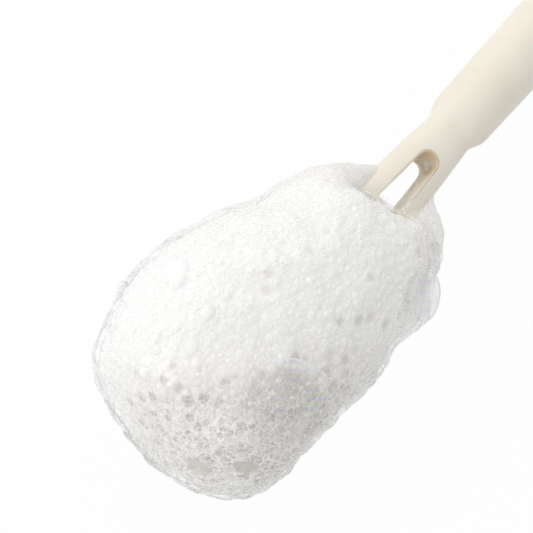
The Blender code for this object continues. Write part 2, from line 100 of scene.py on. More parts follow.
HANG_HOLE_RIM = 0.9 * MM
NET_EDGE = 1.3 * MM
NET_THICKNESS = 0.4 * MM
SEAM_OUT = 0.8 * MM
SEAM_EDGE_RADIUS = 0.60 * MM
SEAM_THREAD_OUT = 0.66 * MM
LATHER_MIDDLE = 82.0 * MM
LATHER_POLES = ((0.0, 0.0, -36.2), (0.0, 0.0, -130.6))
LATHER_OFF_FLOOR = 0.2 * MM
BUBBLE_OFF_FLOOR = 0.1 * MM
LARGE_SWELLS = (420, 2, 2.4 * MM, 5.0 * MM, 0.72)
MOST_TRIANGLES = 190000
LAMP_DISTANCE = 0.9
FLOOR_SIZE = 8.0

# The lather's outline without its bubbles: depth, then its reach to plus Y, minus Y, up and down, in mm
LATHER_STATIONS = np.array(
    (
        (34.4, 0.0, 0.0, 0.0, 0.0),
        (34.6, 5.0, 5.0, 3.0, 3.0),
        (35.0, 12.6, 14.8, 4.4, 4.4),
        (36.2, 15.2, 17.8, 6.4, 6.4),
        (37.6, 16.7, 19.8, 12.4, 12.4),
        (41.0, 19.2, 21.6, 17.4, 17.9),
        (50.0, 23.9, 29.6, 23.8, 24.2),
        (62.0, 26.7, 27.6, 26.8, 26.8),
        (76.0, 32.6, 29.1, 28.5, 28.5),
        (90.0, 36.6, 28.4, 29.5, 29.0),
        (104.0, 36.8, 27.7, 29.5, 29.0),
        (117.0, 33.3, 27.2, 28.0, 28.0),
        (125.0, 27.9, 23.5, 24.0, 24.0),
        (129.5, 18.6, 15.4, 17.0, 17.0),
        (130.4, 12.4, 8.6, 8.6, 8.6),
        (130.6, 0.0, 0.0, 0.0, 0.0),
    )
)
LATHER_SECTION = 2.15

# The wet, half clear lather that climbs the rails' outer sides: depth, reach from the axis, half thickness
RIGHT_LOBE = np.array(
    (
        (23.0, 8.2, 0.2),
        (23.6, 8.9, 1.2),
        (25.5, 9.9, 2.6),
        (27.3, 12.4, 4.0),
        (29.2, 15.8, 5.8),
        (31.5, 17.8, 7.8),
        (34.0, 18.8, 10.2),
        (37.0, 19.8, 13.0),
        (40.0, 20.4, 14.6),
        (43.0, 19.4, 12.0),
    )
)
LEFT_LOBE = np.array(
    (
        (29.2, 8.6, 0.2),
        (30.0, 9.6, 1.6),
        (33.8, 12.4, 4.4),
        (37.6, 16.2, 7.6),
        (41.3, 19.0, 11.5),
        (45.0, 21.4, 15.5),
        (48.4, 23.0, 18.5),
        (53.0, 21.0, 17.0),
    )
)

# Bubbles that stand out: kind, place on the brush's own axes (X, Y, depth), half length, half width, in mm,
# and which way the length lies, in degrees from the camera's right towards its down
NAMED_BUBBLES = (
    ("lens", (-26.8, -10.4, 109.4), 15.2, 12.0, 14),
    ("iridescent", (-12.5, -22.4, 52.2), 6.8, 3.4, 104),
    ("clear", (-11.7, -13.7, 36.2), 3.2, 1.5, 92),
    ("clear", (-5.9, -19.9, 38.4), 2.4, 1.2, 90),
    ("bright", (-15.2, 30.9, 99.8), 4.2, 3.0, 95),
    ("bright", (-24.1, 19.2, 105.1), 1.6, 1.5, 0),
    ("bright", (-18.0, 23.7, 117.3), 1.5, 1.4, 0),
    ("bright", (-14.7, 19.4, 124.5), 1.4, 1.3, 0),
    ("clear", (-4.2, 31.6, 115.9), 5.6, 2.1, 117),
    ("clear", (-2.4, 21.3, 126.5), 2.5, 1.7, 90),
    ("clear", (-2.9, 35.5, 98.4), 1.9, 1.7, 120),
    ("clear", (5.6, 35.3, 105.2), 1.7, 1.5, 130),
    # the dark ones are cells that hold painted shade
    ("dark", (-9.0, 9.5, 129.4), 1.3, 1.3, 0),
    ("dark", (-13.6, 7.2, 128.7), 1.0, 1.0, 0),
    ("dark", (-19.4, 3.9, 126.3), 1.5, 1.5, 0),
    ("dark", (-19.6, 1.0, 126.3), 1.3, 1.3, 0),
    ("dark", (-9.1, 0.8, 129.7), 1.1, 1.1, 0),
    ("dark", (-12.6, -1.6, 129.2), 1.3, 1.3, 0),
    ("dark", (-23.8, 5.4, 121.6), 1.5, 1.5, 0),
    ("dark", (-24.5, -6.8, 119.4), 1.3, 1.3, 0),
    ("dark", (-25.3, -10.9, 111.7), 1.3, 1.3, 0),
    ("dark", (-24.0, -14.8, 87.1), 1.6, 1.4, 0),
    ("dark", (-25.3, -10.9, 76.9), 1.8, 1.6, 0),
    ("dark", (-21.2, -17.2, 70.5), 1.6, 1.6, 0),
    ("dark", (-27.9, -4.2, 97.9), 1.8, 1.6, 0),
    ("dark", (-24.2, -12.7, 73.5), 1.6, 1.6, 0),
    ("dark", (-26.9, -6.9, 81.8), 1.3, 1.3, 0),
    ("dark", (-18.8, 15.2, 123.9), 1.3, 1.3, 0),
    ("dark", (-21.3, 16.4, 120.3), 1.0, 1.0, 0),
    # the ovals are shallow hollows that hold painted shade
    ("oval", (-6.8, -8.8, 128.7), 4.1, 2.5, 25),
    ("oval", (-16.1, -16.0, 123.2), 3.6, 2.1, 0),
)

# The camera of the photograph, fitted to the handle's edges
CAMERA_AT = (-0.1769, 0.0998, 0.5765)
CAMERA_RIGHT = (0.6534, -0.6819, 0.3287)
CAMERA_DOWN = (-0.6879, -0.7161, -0.1180)


def laid_matrix():
    """From the brush's own axis to the row frame: the head's underside and the grip's rear on one floor."""
    tilt = math.atan((REST_DEPTH - GRIP_REAR_RADIUS) / (GRIP_LENGTH + REST_BELOW_SHOULDER))
    turn = Matrix.Rotation(0.5 * math.pi + tilt, 4, "Y")
    turn.translation = -(turn.to_3x3() @ Vector((REST_DEPTH, 0.0, -REST_BELOW_SHOULDER)))
    return turn


LAID = np.array(laid_matrix())


def laid(points):
    return points @ LAID[:3, :3].T + LAID[:3, 3]


def unlaid(points):
    return (points - LAID[:3, 3]) @ LAID[:3, :3]


def blend(a, b, share):
    return a + (b - a) * share


def eased(value, start, end):
    share = np.clip((value - start) / (end - start), 0.0, 1.0)
    return share * share * (3.0 - 2.0 * share)


def powered(value, exponent):
    return np.sign(value) * np.abs(value) ** exponent


# Shader maths


class Value:
    """A number on its way through a material, so that shader maths reads as Python."""

    def __init__(self, paint, socket):
        self.paint = paint
        self.socket = socket

    def maths(self, operation, *values):
        values = values or (self,)
        node = self.paint.add("ShaderNodeMath", {"operation": operation}, dict(enumerate(values)))
        return node["Value"]

    def __add__(self, other):
        return self.maths("ADD", self, other)

    def __radd__(self, other):
        return self.maths("ADD", other, self)

    def __sub__(self, other):
        return self.maths("SUBTRACT", self, other)

    def __rsub__(self, other):
        return self.maths("SUBTRACT", other, self)

    def __mul__(self, other):
        return self.maths("MULTIPLY", self, other)

    def __rmul__(self, other):
        return self.maths("MULTIPLY", other, self)

    def __pow__(self, other):
        return self.maths("POWER", self, other)

    def between(self, start, end):
        """0 below start and 1 above end, eased."""
        sockets = {"Value": self, "From Min": start, "From Max": end}
        node = self.paint.add("ShaderNodeMapRange", {"interpolation_type": "SMOOTHSTEP"}, sockets)
        return node["Result"]


class Made:
    """A node whose outputs are read by name."""

    def __init__(self, paint, node):
        self.paint = paint
        self.node = node

    def __getitem__(self, name):
        outputs = [o for o in self.node.outputs if o.name == name and o.enabled]
        return Value(self.paint, outputs[0])


class Nodes:
    """The nodes of a material, or of the world, under construction."""

    def __init__(self, owner):
        owner.use_nodes = True
        self.tree = owner.node_tree
        self.tree.nodes.clear()

    def add(self, kind, settings=None, sockets=None):
        node = self.tree.nodes.new(kind)
        for key, value in (settings or {}).items():
            if key == "stops":
                self.set_stops(node.color_ramp, value)
            else:
                setattr(node, key, value)
        for key, value in (sockets or {}).items():
            names = [s for s in node.inputs if s.name == key and s.enabled]
            socket = node.inputs[key] if isinstance(key, int) else names[0]
            if isinstance(value, Value):
                self.tree.links.new(value.socket, socket)
            else:
                socket.default_value = value
        return Made(self, node)

    def set_stops(self, ramp, stops):
        while len(ramp.elements) < len(stops):
            ramp.elements.new(0.5)
        for element, (position, colour) in zip(ramp.elements, stops):
            element.position = position
            element.color = (*colour, 1.0)

    def between_shaders(self, share, a, b):
        return self.add("ShaderNodeMixShader", None, {0: share, 1: a, 2: b})["Shader"]


class Paint(Nodes):
    """A material under construction."""

    def __init__(self, name, preview):
        self.material = bpy.data.materials.new(name)
        self.material.diffuse_color = (*preview, 1.0)
        super().__init__(self.material)

    def place(self):
        return self.add("ShaderNodeTexCoord")["Object"]

    def attribute(self, name):
        return self.add("ShaderNodeAttribute", {"attribute_name": name})["Fac"]

    def noise(self, scale, detail=2.0, where=None):
        sockets = {"Vector": where or self.place(), "Scale": scale, "Detail": detail}
        return self.add("ShaderNodeTexNoise", None, sockets)["Fac"]

    def cells(self, scale, feature="F1", where=None):
        sockets = {"Vector": where or self.place(), "Scale": scale}
        return self.add("ShaderNodeTexVoronoi", {"feature": feature}, sockets)["Distance"]

    def warped(self, scale, reach):
        """Object coordinates, bent by a noise, so that a pattern's straight lines turn into threads."""
        sockets = {"Vector": self.place(), "Scale": scale, "Detail": 1.0}
        bend = self.add("ShaderNodeTexNoise", None, sockets)["Color"]
        bent = self.add("ShaderNodeVectorMath", {"operation": "SCALE"}, {0: bend, "Scale": reach})["Vector"]
        return self.add("ShaderNodeVectorMath", {"operation": "ADD"}, {0: self.place(), 1: bent})["Vector"]

    def tint(self, share, a, b):
        """A colour between two colours."""
        a = (*a, 1.0) if isinstance(a, tuple) else a
        b = (*b, 1.0) if isinstance(b, tuple) else b
        mixed = self.add("ShaderNodeMix", {"data_type": "RGBA"}, {"Factor": share, "A": a, "B": b})
        return mixed["Result"]

    def bump(self, height, distance, strength=1.0):
        sockets = {"Height": height, "Distance": distance, "Strength": strength}
        return self.add("ShaderNodeBump", None, sockets)["Normal"]

    def principled(self, sockets):
        return self.add("ShaderNodeBsdfPrincipled", None, sockets)["BSDF"]

    def finish(self, shader):
        self.add("ShaderNodeOutputMaterial", None, {"Surface": shader})
        return self.material


# Meshes


def select_none():
    if bpy.context.object and bpy.context.object.mode != "OBJECT":
        bpy.ops.object.mode_set(mode="OBJECT")
    bpy.ops.object.select_all(action="DESELECT")


def select_only(piece):
    select_none()
    piece.select_set(True)
    bpy.context.view_layer.objects.active = piece


def coordinates(mesh):
    found = np.empty(len(mesh.vertices) * 3)
    mesh.vertices.foreach_get("co", found)
    return found.reshape(-1, 3)


def set_coordinates(mesh, points):
    mesh.vertices.foreach_set("co", np.ascontiguousarray(points, dtype=float).ravel())
    mesh.update()


def rolled(name, sides, rows, place, close_round=True):
    """A flat grid rolled into a tube: place gives each vertex from its shares round and along."""
    select_none()
    bpy.ops.mesh.primitive_grid_add(x_subdivisions=sides, y_subdivisions=rows, size=1.0)
    piece = bpy.context.object
    piece.name = name
    piece.data.name = name
    flat = coordinates(piece.data)
    set_coordinates(piece.data, place(flat[:, 0] + 0.5, flat[:, 1] + 0.5))
    bpy.ops.object.mode_set(mode="EDIT")
    bpy.ops.mesh.select_all(action="SELECT")
    bpy.ops.mesh.remove_doubles(threshold=0.000002)
    if close_round:
        bpy.ops.mesh.select_all(action="DESELECT")
        bpy.ops.mesh.select_mode(type="EDGE")
        bpy.ops.mesh.select_non_manifold(extend=False)
        if piece.data.total_edge_sel:
            bpy.ops.mesh.edge_face_add()
        bpy.ops.mesh.select_all(action="SELECT")
        bpy.ops.mesh.normals_make_consistent(inside=False)
    bpy.ops.object.mode_set(mode="OBJECT")
    bpy.ops.object.shade_smooth()
    return piece


def cut(piece, *cutters):
    """Takes the cutters out of a piece, and then removes them."""
    for cutter in cutters:
        step = piece.modifiers.new("Cut", "BOOLEAN")
        step.operation = "DIFFERENCE"
        step.object = cutter
        step.solver = "EXACT"
        select_only(piece)
        bpy.ops.object.modifier_apply(modifier=step.name)
        bpy.data.objects.remove(cutter, do_unlink=True)
    return piece


def smooth_by_angle(piece, degrees):
    select_only(piece)
    bpy.ops.object.shade_smooth_by_angle(angle=math.radians(degrees))


def settle(piece, material, nodes=(), clear=False):
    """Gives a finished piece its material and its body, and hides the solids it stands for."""
    if clear:
        piece.visible_shadow = False
        piece.visible_diffuse = False
    piece.data.materials.clear()
    piece.data.materials.append(material)
    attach(piece, "root")
    if nodes:
        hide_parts(*nodes)
    return piece


# Sizes and colours a user may change


class HandleFinish(bpy.types.PropertyGroup):
    front_radius: bpy.props.FloatProperty(
        name="Front radius", description="Radius of the grip at its shoulder", default=9.0 * MM, unit="LENGTH"
    )
    belly_radius: bpy.props.FloatProperty(
        name="Belly radius", description="Radius of the grip at its thickest", default=9.8 * MM, unit="LENGTH"
    )
    neck_half_width: bpy.props.FloatProperty(
        name="Neck half width", description="Half width of the neck under the shoulder", default=7.0 * MM,
        unit="LENGTH",
    )
    neck_half_depth: bpy.props.FloatProperty(
        name="Neck half depth", description="Half depth of the neck under the shoulder", default=6.2 * MM,
        unit="LENGTH",
    )
    spine_half_width: bpy.props.FloatProperty(
        name="Spine half width", description="Half width of the fork where it has levelled off",
        default=11.4 * MM, unit="LENGTH",
    )
    rim: bpy.props.FloatProperty(
        name="Window rim", description="Radius of the rounded rim of each window", default=0.8 * MM,
        unit="LENGTH",
    )
    ivory: bpy.props.FloatVectorProperty(
        name="Ivory", description="Colour of the moulded plastic", default=(0.875, 0.83, 0.735),
        subtype="COLOR",
    )


class LatherFinish(bpy.types.PropertyGroup):
    skin: bpy.props.FloatProperty(
        name="Clear skin", description="How deep the white core lies under the lather's outline",
        default=1.5 * MM, unit="LENGTH",
    )
    white: bpy.props.FloatVectorProperty(
        name="White", description="Colour of the fine, dense lather", default=(0.945, 0.935, 0.92), subtype="COLOR"
    )
    # shaded and deep are painted shade: between the small cells, and inside the open cells and pits
    shaded: bpy.props.FloatVectorProperty(
        name="Shaded", description="Colour between the small cells", default=(0.80, 0.785, 0.755), subtype="COLOR"
    )
    deep: bpy.props.FloatVectorProperty(
        name="Deep", description="Colour inside the open cells", default=(0.49, 0.455, 0.395), subtype="COLOR"
    )
    bead: bpy.props.FloatVectorProperty(
        name="Beads", description="Colour of the small bubbles", default=(0.97, 0.96, 0.945), subtype="COLOR"
    )
    # the lining's tan is painted shade of the slot's round end
    slot_shade_tan: bpy.props.FloatVectorProperty(
        name="Dried soap", description="Colour of the lining in the slot's end", default=(0.87, 0.76, 0.60),
        subtype="COLOR",
    )
    grains: bpy.props.IntProperty(
        name="Small bubbles", description="How many small bubbles cover the core at most", default=11000
    )
    clear: bpy.props.IntProperty(
        name="Clear bubbles", description="How many clear bubbles lie on the skin", default=900
    )
    pits: bpy.props.IntProperty(
        name="Open cells", description="How many larger open cells the coarse lather has", default=700
    )


class HeadFinish(bpy.types.PropertyGroup):
    sponge: bpy.props.FloatVectorProperty(
        name="Sponge", description="Colour of the two pads", default=(0.9, 0.86, 0.76), subtype="COLOR"
    )
    net: bpy.props.FloatVectorProperty(
        name="Net", description="Colour of the knitted sleeve", default=(0.93, 0.92, 0.88), subtype="COLOR"
    )
    thread_colour: bpy.props.FloatVectorProperty(
        name="Thread colour", description="Colour of the seam's thread", default=(0.92, 0.9, 0.86), subtype="COLOR"
    )
    wales: bpy.props.IntProperty(
        name="Wales", description="Columns of loops across one half of the net", default=46
    )
    courses: bpy.props.IntProperty(name="Courses", description="Rows of loops along the net", default=64)
    stitch: bpy.props.FloatProperty(
        name="Stitch", description="Distance from stitch to stitch along the seam", default=1.3 * MM, unit="LENGTH"
    )
    thread: bpy.props.FloatProperty(
        name="Thread", description="Radius of the seam's thread", default=0.13 * MM, unit="LENGTH"
    )


class StudioFinish(bpy.types.PropertyGroup):
    lens: bpy.props.FloatProperty(name="Lens", description="Focal length in mm", default=150.0)
    sky: bpy.props.FloatProperty(
        name="Sky", description="Strength of the even light all round", default=0.684
    )
    key: bpy.props.FloatProperty(
        name="Key", description="Power of the soft lamp over the tip's far side", default=1.95, unit="POWER"
    )
    rear: bpy.props.FloatProperty(
        name="Rear", description="Power of the soft lamp behind the handle", default=2.1, unit="POWER"
    )
    floor: bpy.props.FloatVectorProperty(
        name="Floor", description="Colour of the floor", default=(0.93, 0.93, 0.93), subtype="COLOR"
    )


# Materials


def ivory_plastic(colour):
    paint = Paint("ivory_plastic", tuple(colour))
    flow = paint.noise(38.0, 3.0)
    grain = paint.noise(900.0, 2.0)
    deeper = tuple(c * s for c, s in zip(colour, (0.965, 0.95, 0.915)))
    sockets = {
        "Base Color": paint.tint(flow.between(0.35, 0.7), tuple(colour), deeper),
        "Roughness": 0.40 + 0.10 * paint.noise(160.0, 3.0),
        "Specular IOR Level": 0.30,
        "Normal": paint.bump(flow + 0.12 * grain, 0.00025, 0.35),
        "Subsurface Weight": 0.12,
        "Subsurface Radius": (1.0, 0.72, 0.42),
        "Subsurface Scale": 0.003,
        "IOR": 1.49,
    }
    return paint.finish(paint.principled(sockets))


def soap_lather(name, white, shaded, deep):
    """White foam: soft small bubbles all over, and pale threads round warm, darker cells where it is coarse. The
    grey between the small bubbles and the dark inside the cells and pits are painted shade.
    """
    paint = Paint(name, tuple(white))
    coarse = paint.attribute("coarse")
    hollow = paint.attribute("hollow")
    rim = paint.attribute("rim")
    rough = 1.0 - paint.attribute("calm")
    bent = paint.warped(330.0, 0.0011)
    small = paint.cells(700.0, "SMOOTH_F1")
    webs = paint.cells(520.0, "DISTANCE_TO_EDGE", bent)
    threads = paint.cells(900.0, "DISTANCE_TO_EDGE", bent)
    patches = paint.noise(210.0, 2.0).between(0.40, 0.64)
    web = 1.0 - webs.between(0.01, 0.10)
    thread = 1.0 - threads.between(0.01, 0.12)
    # painted shade: greyer towards the small cells' edges and in the creases between the domes, where the lather is
    # not calm
    shade = (small.between(0.20, 0.62) * 0.13 + rim.between(0.6, 1.0) * 0.11) * rough
    pale = paint.tint(shade, tuple(white), tuple(shaded))
    # painted shade: where it is coarse, the colour goes towards deep, the painted shade inside open cells
    cells = paint.tint(coarse * (patches * 0.38 + 0.40), pale, tuple(deep))
    # painted shade: the bottoms of the pits and hollows darker still
    bottoms = paint.tint(hollow, cells, tuple(c * 0.84 for c in deep))
    lines = (web * 0.75 + thread * 0.35) * coarse
    height = (1.0 - small * 1.2 + lines * 0.5) * rough
    sockets = {
        "Base Color": paint.tint(lines, bottoms, tuple(white)),
        "Roughness": 0.34 + 0.22 * small,
        "Normal": paint.bump(height, 0.00030, 0.24),
        "Subsurface Weight": 0.6,
        "Subsurface Radius": (1.0, 1.0, 1.0),
        "Subsurface Scale": 0.0012,
        "IOR": 1.33,
    }
    return paint.finish(paint.principled(sockets))


def lather_grain(name, white, body, edge):
    """The small bubbles of the skin: soft white beads, a little clearer towards their edge."""
    paint = Paint(name, tuple(white))
    facing = paint.add("ShaderNodeLayerWeight", None, {"Blend": 0.5})["Facing"]
    sockets = {
        "Base Color": paint.tint(paint.attribute("tone"), tuple(white), tuple(c * 0.95 for c in white)),
        "Roughness": 0.28,
        "Alpha": body - edge * facing,
        "IOR": 1.33,
    }
    return paint.finish(paint.principled(sockets))


def wet_lather(name, white, shaded, body):
    """The half clear lather beside the rails: painted shade in grey round its small pale beads and tiny cells, more
    in the clearer lobe.
    """
    paint = Paint(name, tuple(white))
    facing = paint.add("ShaderNodeLayerWeight", None, {"Blend": 0.5})["Facing"]
    beads = paint.cells(750.0)
    fine_cell_shade = paint.cells(1300.0).between(0.30, 0.62)
    # painted shade: greyer towards the edges of the tiny cells and round the beads, more in the clearer lobe
    share = (fine_cell_shade * 0.45 + beads.between(0.25, 0.6) * 0.4) * (1.25 - body)
    sockets = {
        "Base Color": paint.tint(share, tuple(white), tuple(shaded)),
        "Roughness": 0.22,
        "Alpha": body + 0.30 * (1.0 - beads.between(0.10, 0.50)) + 0.20 * facing,
        "Normal": paint.bump(1.0 - beads * 1.6, 0.0003, 0.6),
        "IOR": 1.33,
    }
    return paint.finish(paint.principled(sockets))


def slot_film_shade(name, colour, clean):
    """The tan lining in the slot's end: its tan is painted shade of that recess, with fine ribs across it and a
    little white froth.
    """
    paint = Paint(name, tuple(colour))
    ribs = (paint.attribute("along") * 11.0).maths("SINE") * 0.5 + 0.5
    stains = paint.noise(420.0, 3.0).between(0.38, 0.68)
    darker = tuple(c * f for c, f in zip(colour, (0.80, 0.74, 0.66)))
    # painted shade: the tan, darker still in a patch on the right wall and along the front rim
    share = stains * 0.6 + ribs * 0.25 + paint.attribute("stain") * 0.8
    tan = paint.tint(share, tuple(colour), darker)
    froth = (paint.attribute("froth") * (0.5 + stains)).between(0.2, 0.6)
    sockets = {
        "Base Color": paint.tint(froth, paint.tint(paint.attribute("fade"), tan, tuple(clean)), (0.95, 0.94, 0.92)),
        "Roughness": 0.30 + 0.25 * stains,
        "Normal": paint.bump(ribs + stains, 0.00012, 0.5),
        "IOR": 1.4,
    }
    return paint.finish(paint.principled(sockets))


def sponge_foam(colour):
    paint = Paint("sponge_foam", tuple(colour))
    pores = paint.cells(900.0)
    fine = paint.cells(2200.0)
    # painted shade: the pores darker than the foam round them
    holes = 1.0 - pores.between(0.10, 0.42)
    deep = tuple(c * f for c, f in zip(colour, (0.62, 0.58, 0.50)))
    sockets = {
        "Base Color": paint.tint(holes * 0.8 + (1.0 - fine.between(0.1, 0.4)) * 0.2, tuple(colour), deep),
        "Roughness": 0.85 + 0.1 * fine,
        "Normal": paint.bump(pores + 0.3 * fine, 0.0005, 0.8),
        "Subsurface Weight": 0.2,
        "Subsurface Radius": (1.0, 0.9, 0.7),
        "Subsurface Scale": 0.002,
    }
    return paint.finish(paint.principled(sockets))


def net_cloth(colour, wales, courses):
    """A fine knitted net: rows of loops along the panel's own map, with open holes between them."""
    paint = Paint("net_cloth", tuple(colour))
    split = paint.add("ShaderNodeSeparateXYZ", None, {"Vector": paint.add("ShaderNodeTexCoord")["UV"]})
    across, along = split["X"] * float(wales), split["Y"] * float(courses)
    sway = (along * (2.0 * math.pi)).maths("SINE") * 0.22
    column = (across + sway).maths("PINGPONG", across + sway, 0.5)
    row = (along + (across * (2.0 * math.pi)).maths("COSINE") * 0.16).maths("PINGPONG", along, 0.5)
    strand = (1.0 - column.between(0.10, 0.22)).maths("MAXIMUM", 1.0 - column.between(0.10, 0.22),
                                                      1.0 - row.between(0.08, 0.18))
    twist = (across * 40.0 + along * 60.0).maths("SINE") * 0.5 + 0.5
    sockets = {
        "Base Color": paint.tint(twist * 0.35, tuple(colour), tuple(c * 0.86 for c in colour)),
        "Roughness": 0.72 + 0.12 * twist,
        "Alpha": strand,
        "Normal": paint.bump(strand + 0.2 * twist, 0.0002, 0.7),
    }
    return paint.finish(paint.principled(sockets))


def seam_thread(colour):
    """Spun thread: fine fibres that run round each strand."""
    paint = Paint("seam_thread", tuple(colour))
    fibres = (paint.attribute("twist") * (2.0 * math.pi)).maths("SINE") * 0.5 + 0.5
    fuzz = paint.noise(5200.0, 2.0)
    sockets = {
        "Base Color": paint.tint(fibres * 0.4, tuple(colour), tuple(c * 0.84 for c in colour)),
        "Roughness": 0.75 + 0.15 * fuzz,
        "Normal": paint.bump(fibres + 0.4 * fuzz, 0.00008, 0.8),
    }
    return paint.finish(paint.principled(sockets))


def bubble_film(name, edge, body, tinge, rainbow=0.0, sharp=2.6, threads=0.0, outline=0.0):
    """A clear film: see-through face on, with an edge in its tinge, a sharp reflection and faint colours. A grey
    tinge paints the grey reflection at the edge, a warm tinge paints the shade seen through the film, and the
    outline attribute paints a pale rim as a highlight.
    """
    paint = Paint(name, (0.95, 0.96, 0.97))
    facing = paint.add("ShaderNodeLayerWeight", None, {"Blend": 0.5})["Facing"]
    gloss = paint.add("ShaderNodeLayerWeight", None, {"Blend": 0.10})["Fresnel"]
    clear = paint.add("ShaderNodeBsdfTransparent", None, {"Color": (1.0, 1.0, 1.0, 1.0)})["BSDF"]
    colour = tinge
    if threads:
        webs = paint.cells(430.0, "DISTANCE_TO_EDGE", paint.warped(240.0, 0.0024))
        finer = paint.cells(800.0, "DISTANCE_TO_EDGE", paint.warped(300.0, 0.0014))
        lines = (1.0 - webs.between(0.01, 0.10)) + (1.0 - finer.between(0.01, 0.09)) * 0.5
        body = body + lines * paint.attribute("threads") * threads
    if rainbow:
        ripple = paint.noise(90.0, 1.0) * 5.0
        bands = (paint.attribute("bands") * 2.6 + ripple).maths("SINE") * 0.5 + 0.5
        colours = paint.add(
            "ShaderNodeValToRGB",
            {"stops": ((0.0, (0.50, 0.62, 0.92)), (0.35, (0.94, 0.55, 0.66)), (0.65, (0.94, 0.86, 0.58)),
                       (1.0, (0.50, 0.86, 0.66)))},
            {"Fac": bands},
        )["Color"]
        strength = paint.noise(110.0, 1.0).between(0.34, 0.60) * paint.attribute("share") ** 2.5 * rainbow
        colour = paint.tint(strength, tinge, colours)
    if outline:
        # painted highlight: a pale outline where this attribute is high, standing in for the film's bright rim
        border = paint.attribute("border")
        body = paint.attribute("share") * body + border * outline
        colour = paint.tint(border, colour, (0.97, 0.97, 0.96))
    skin = paint.principled({"Base Color": colour if rainbow else (*tinge, 1.0), "Roughness": 0.30, "IOR": 1.33})
    mirror = paint.add("ShaderNodeBsdfGlossy", None, {"Color": (1.0, 1.0, 1.0, 1.0), "Roughness": 0.05})["BSDF"]
    veil = paint.between_shaders(body + edge * facing**sharp, clear, skin)
    return paint.finish(paint.between_shaders(gloss * 0.8 + 0.015, veil, mirror))


# Pieces


def curve_through(stations, share):
    """Values on a smooth curve through a table of stations, at shares of its length."""
    last = len(stations) - 1
    at = np.clip(share * last, 0.0, last)
    k = np.minimum(at.astype(int), last - 1)
    t = (at - k)[:, None]
    a = stations[np.maximum(k - 1, 0)]
    b = stations[k]
    c = stations[k + 1]
    d = stations[np.minimum(k + 2, last)]
    bend = 2.0 * a - 5.0 * b + 4.0 * c - d
    twist = 3.0 * (b - c) - a + d
    return b + 0.5 * ((c - a) * t + bend * t**2 + twist * t**3)


def fork_width(depth, sizes):
    spread = sizes.spine_half_width - sizes.neck_half_width
    beyond = np.maximum(0.0, depth - SHOULDER_LENGTH)
    return sizes.spine_half_width - spread * np.exp(-0.10 * beyond / spread)


def fork_depth(depth, sizes):
    to_fork = eased(depth, SHOULDER_LENGTH, WINDOWS[0][0] * MM)
    thins = eased(depth, *SPINE_THINS)
    return blend(blend(sizes.neck_half_depth, FORK_HALF_DEPTH, to_fork), SPINE_END_HALF_DEPTH, thins)


def fork_section(depth):
    return blend(NECK_SECTION, SPINE_SECTION, eased(depth, *SPINE_THINS))


def grip_radius(z, sizes):
    rise = np.sin(0.5 * math.pi * np.clip(z / GRIP_BELLY_AT, 0.0, 1.0))
    front = blend(sizes.front_radius, sizes.belly_radius, rise)
    fall = 0.5 - 0.5 * np.cos(math.pi * np.clip((z - GRIP_BELLY_AT) / (GRIP_LENGTH - GRIP_BELLY_AT), 0.0, 1.0))
    return np.where(z < GRIP_BELLY_AT, front, blend(sizes.belly_radius, GRIP_REAR_RADIUS, fall))


def handle_rows(sizes):
    """Height, half width, half depth and squareness of every ring, from the rear face to the tip."""
    rows = [(GRIP_LENGTH, 0.0, 0.0, 2.0), (GRIP_LENGTH, 0.5 * GRIP_REAR_RADIUS, 0.5 * GRIP_REAR_RADIUS, 2.0)]
    for angle in np.radians(np.linspace(90.0, 0.0, 7)):
        radius = GRIP_REAR_RADIUS - GRIP_REAR_ROUND * (1.0 - math.cos(angle))
        rows.append((GRIP_LENGTH - GRIP_REAR_ROUND * (1.0 - math.sin(angle)), radius, radius, 2.0))
    for z in np.linspace(GRIP_LENGTH - GRIP_REAR_ROUND, 0.0, 61)[1:]:
        radius = float(grip_radius(z, sizes))
        rows.append((z, radius, radius, 2.0))
    steps = 22
    for k in range(1, steps):
        along = math.sin(0.5 * math.pi * k / steps)
        share = float(eased(along, 0.0, 1.0))
        dome = 1.0 - (1.0 - along**SHOULDER_DOME) ** (1.0 / SHOULDER_DOME)
        half_width = blend(sizes.front_radius, sizes.neck_half_width, share)
        half_depth = blend(sizes.front_radius, sizes.neck_half_depth, dome)
        rows.append((-SHOULDER_LENGTH * along, half_width, half_depth, blend(2.0, NECK_SECTION, share)))
    straight = SPINE_LENGTH - SPINE_END_ROUND
    for depth in np.linspace(SHOULDER_LENGTH, straight, 101):
        rows.append(
            (-depth, float(fork_width(depth, sizes)), float(fork_depth(depth, sizes)), float(fork_section(depth)))
        )
    for angle in np.radians(np.linspace(0.0, 90.0, 9)[1:]):
        depth = straight + SPINE_END_ROUND * math.sin(angle)
        shrink = SPINE_END_ROUND * (1.0 - math.cos(angle))
        half_width = float(fork_width(depth, sizes)) - shrink
        half_depth = float(fork_depth(depth, sizes)) * blend(1.0, 0.7, 1.0 - math.cos(angle))
        rows.append((-depth, half_width, half_depth, SPINE_SECTION))
    rows.append((-SPINE_LENGTH, 0.0, 0.0, SPINE_SECTION))
    return softened(np.array(rows), -11.0 * MM, -3.0 * MM, 0.8 * MM)


def softened(rows, low, high, spread):
    """The rows with the crease under the shoulder rounded, as moulded plastic is."""
    fine = np.arange(low - 6.0 * spread, high + 6.0 * spread, 0.1 * MM)
    kernel = np.exp(-0.5 * (np.arange(-40, 41) * 0.1 * MM / spread) ** 2)
    order = np.argsort(rows[:, 0])
    made = rows.copy()
    within = eased(rows[:, 0], low, low + 2.0 * MM) * (1.0 - eased(rows[:, 0], high - 2.0 * MM, high))
    for column in (1, 2):
        values = np.interp(fine, rows[order, 0], rows[order, column])
        smooth = np.convolve(values, kernel / kernel.sum(), mode="same")
        made[:, column] = blend(rows[:, column], np.interp(rows[:, 0], fine, smooth), within)
    return made


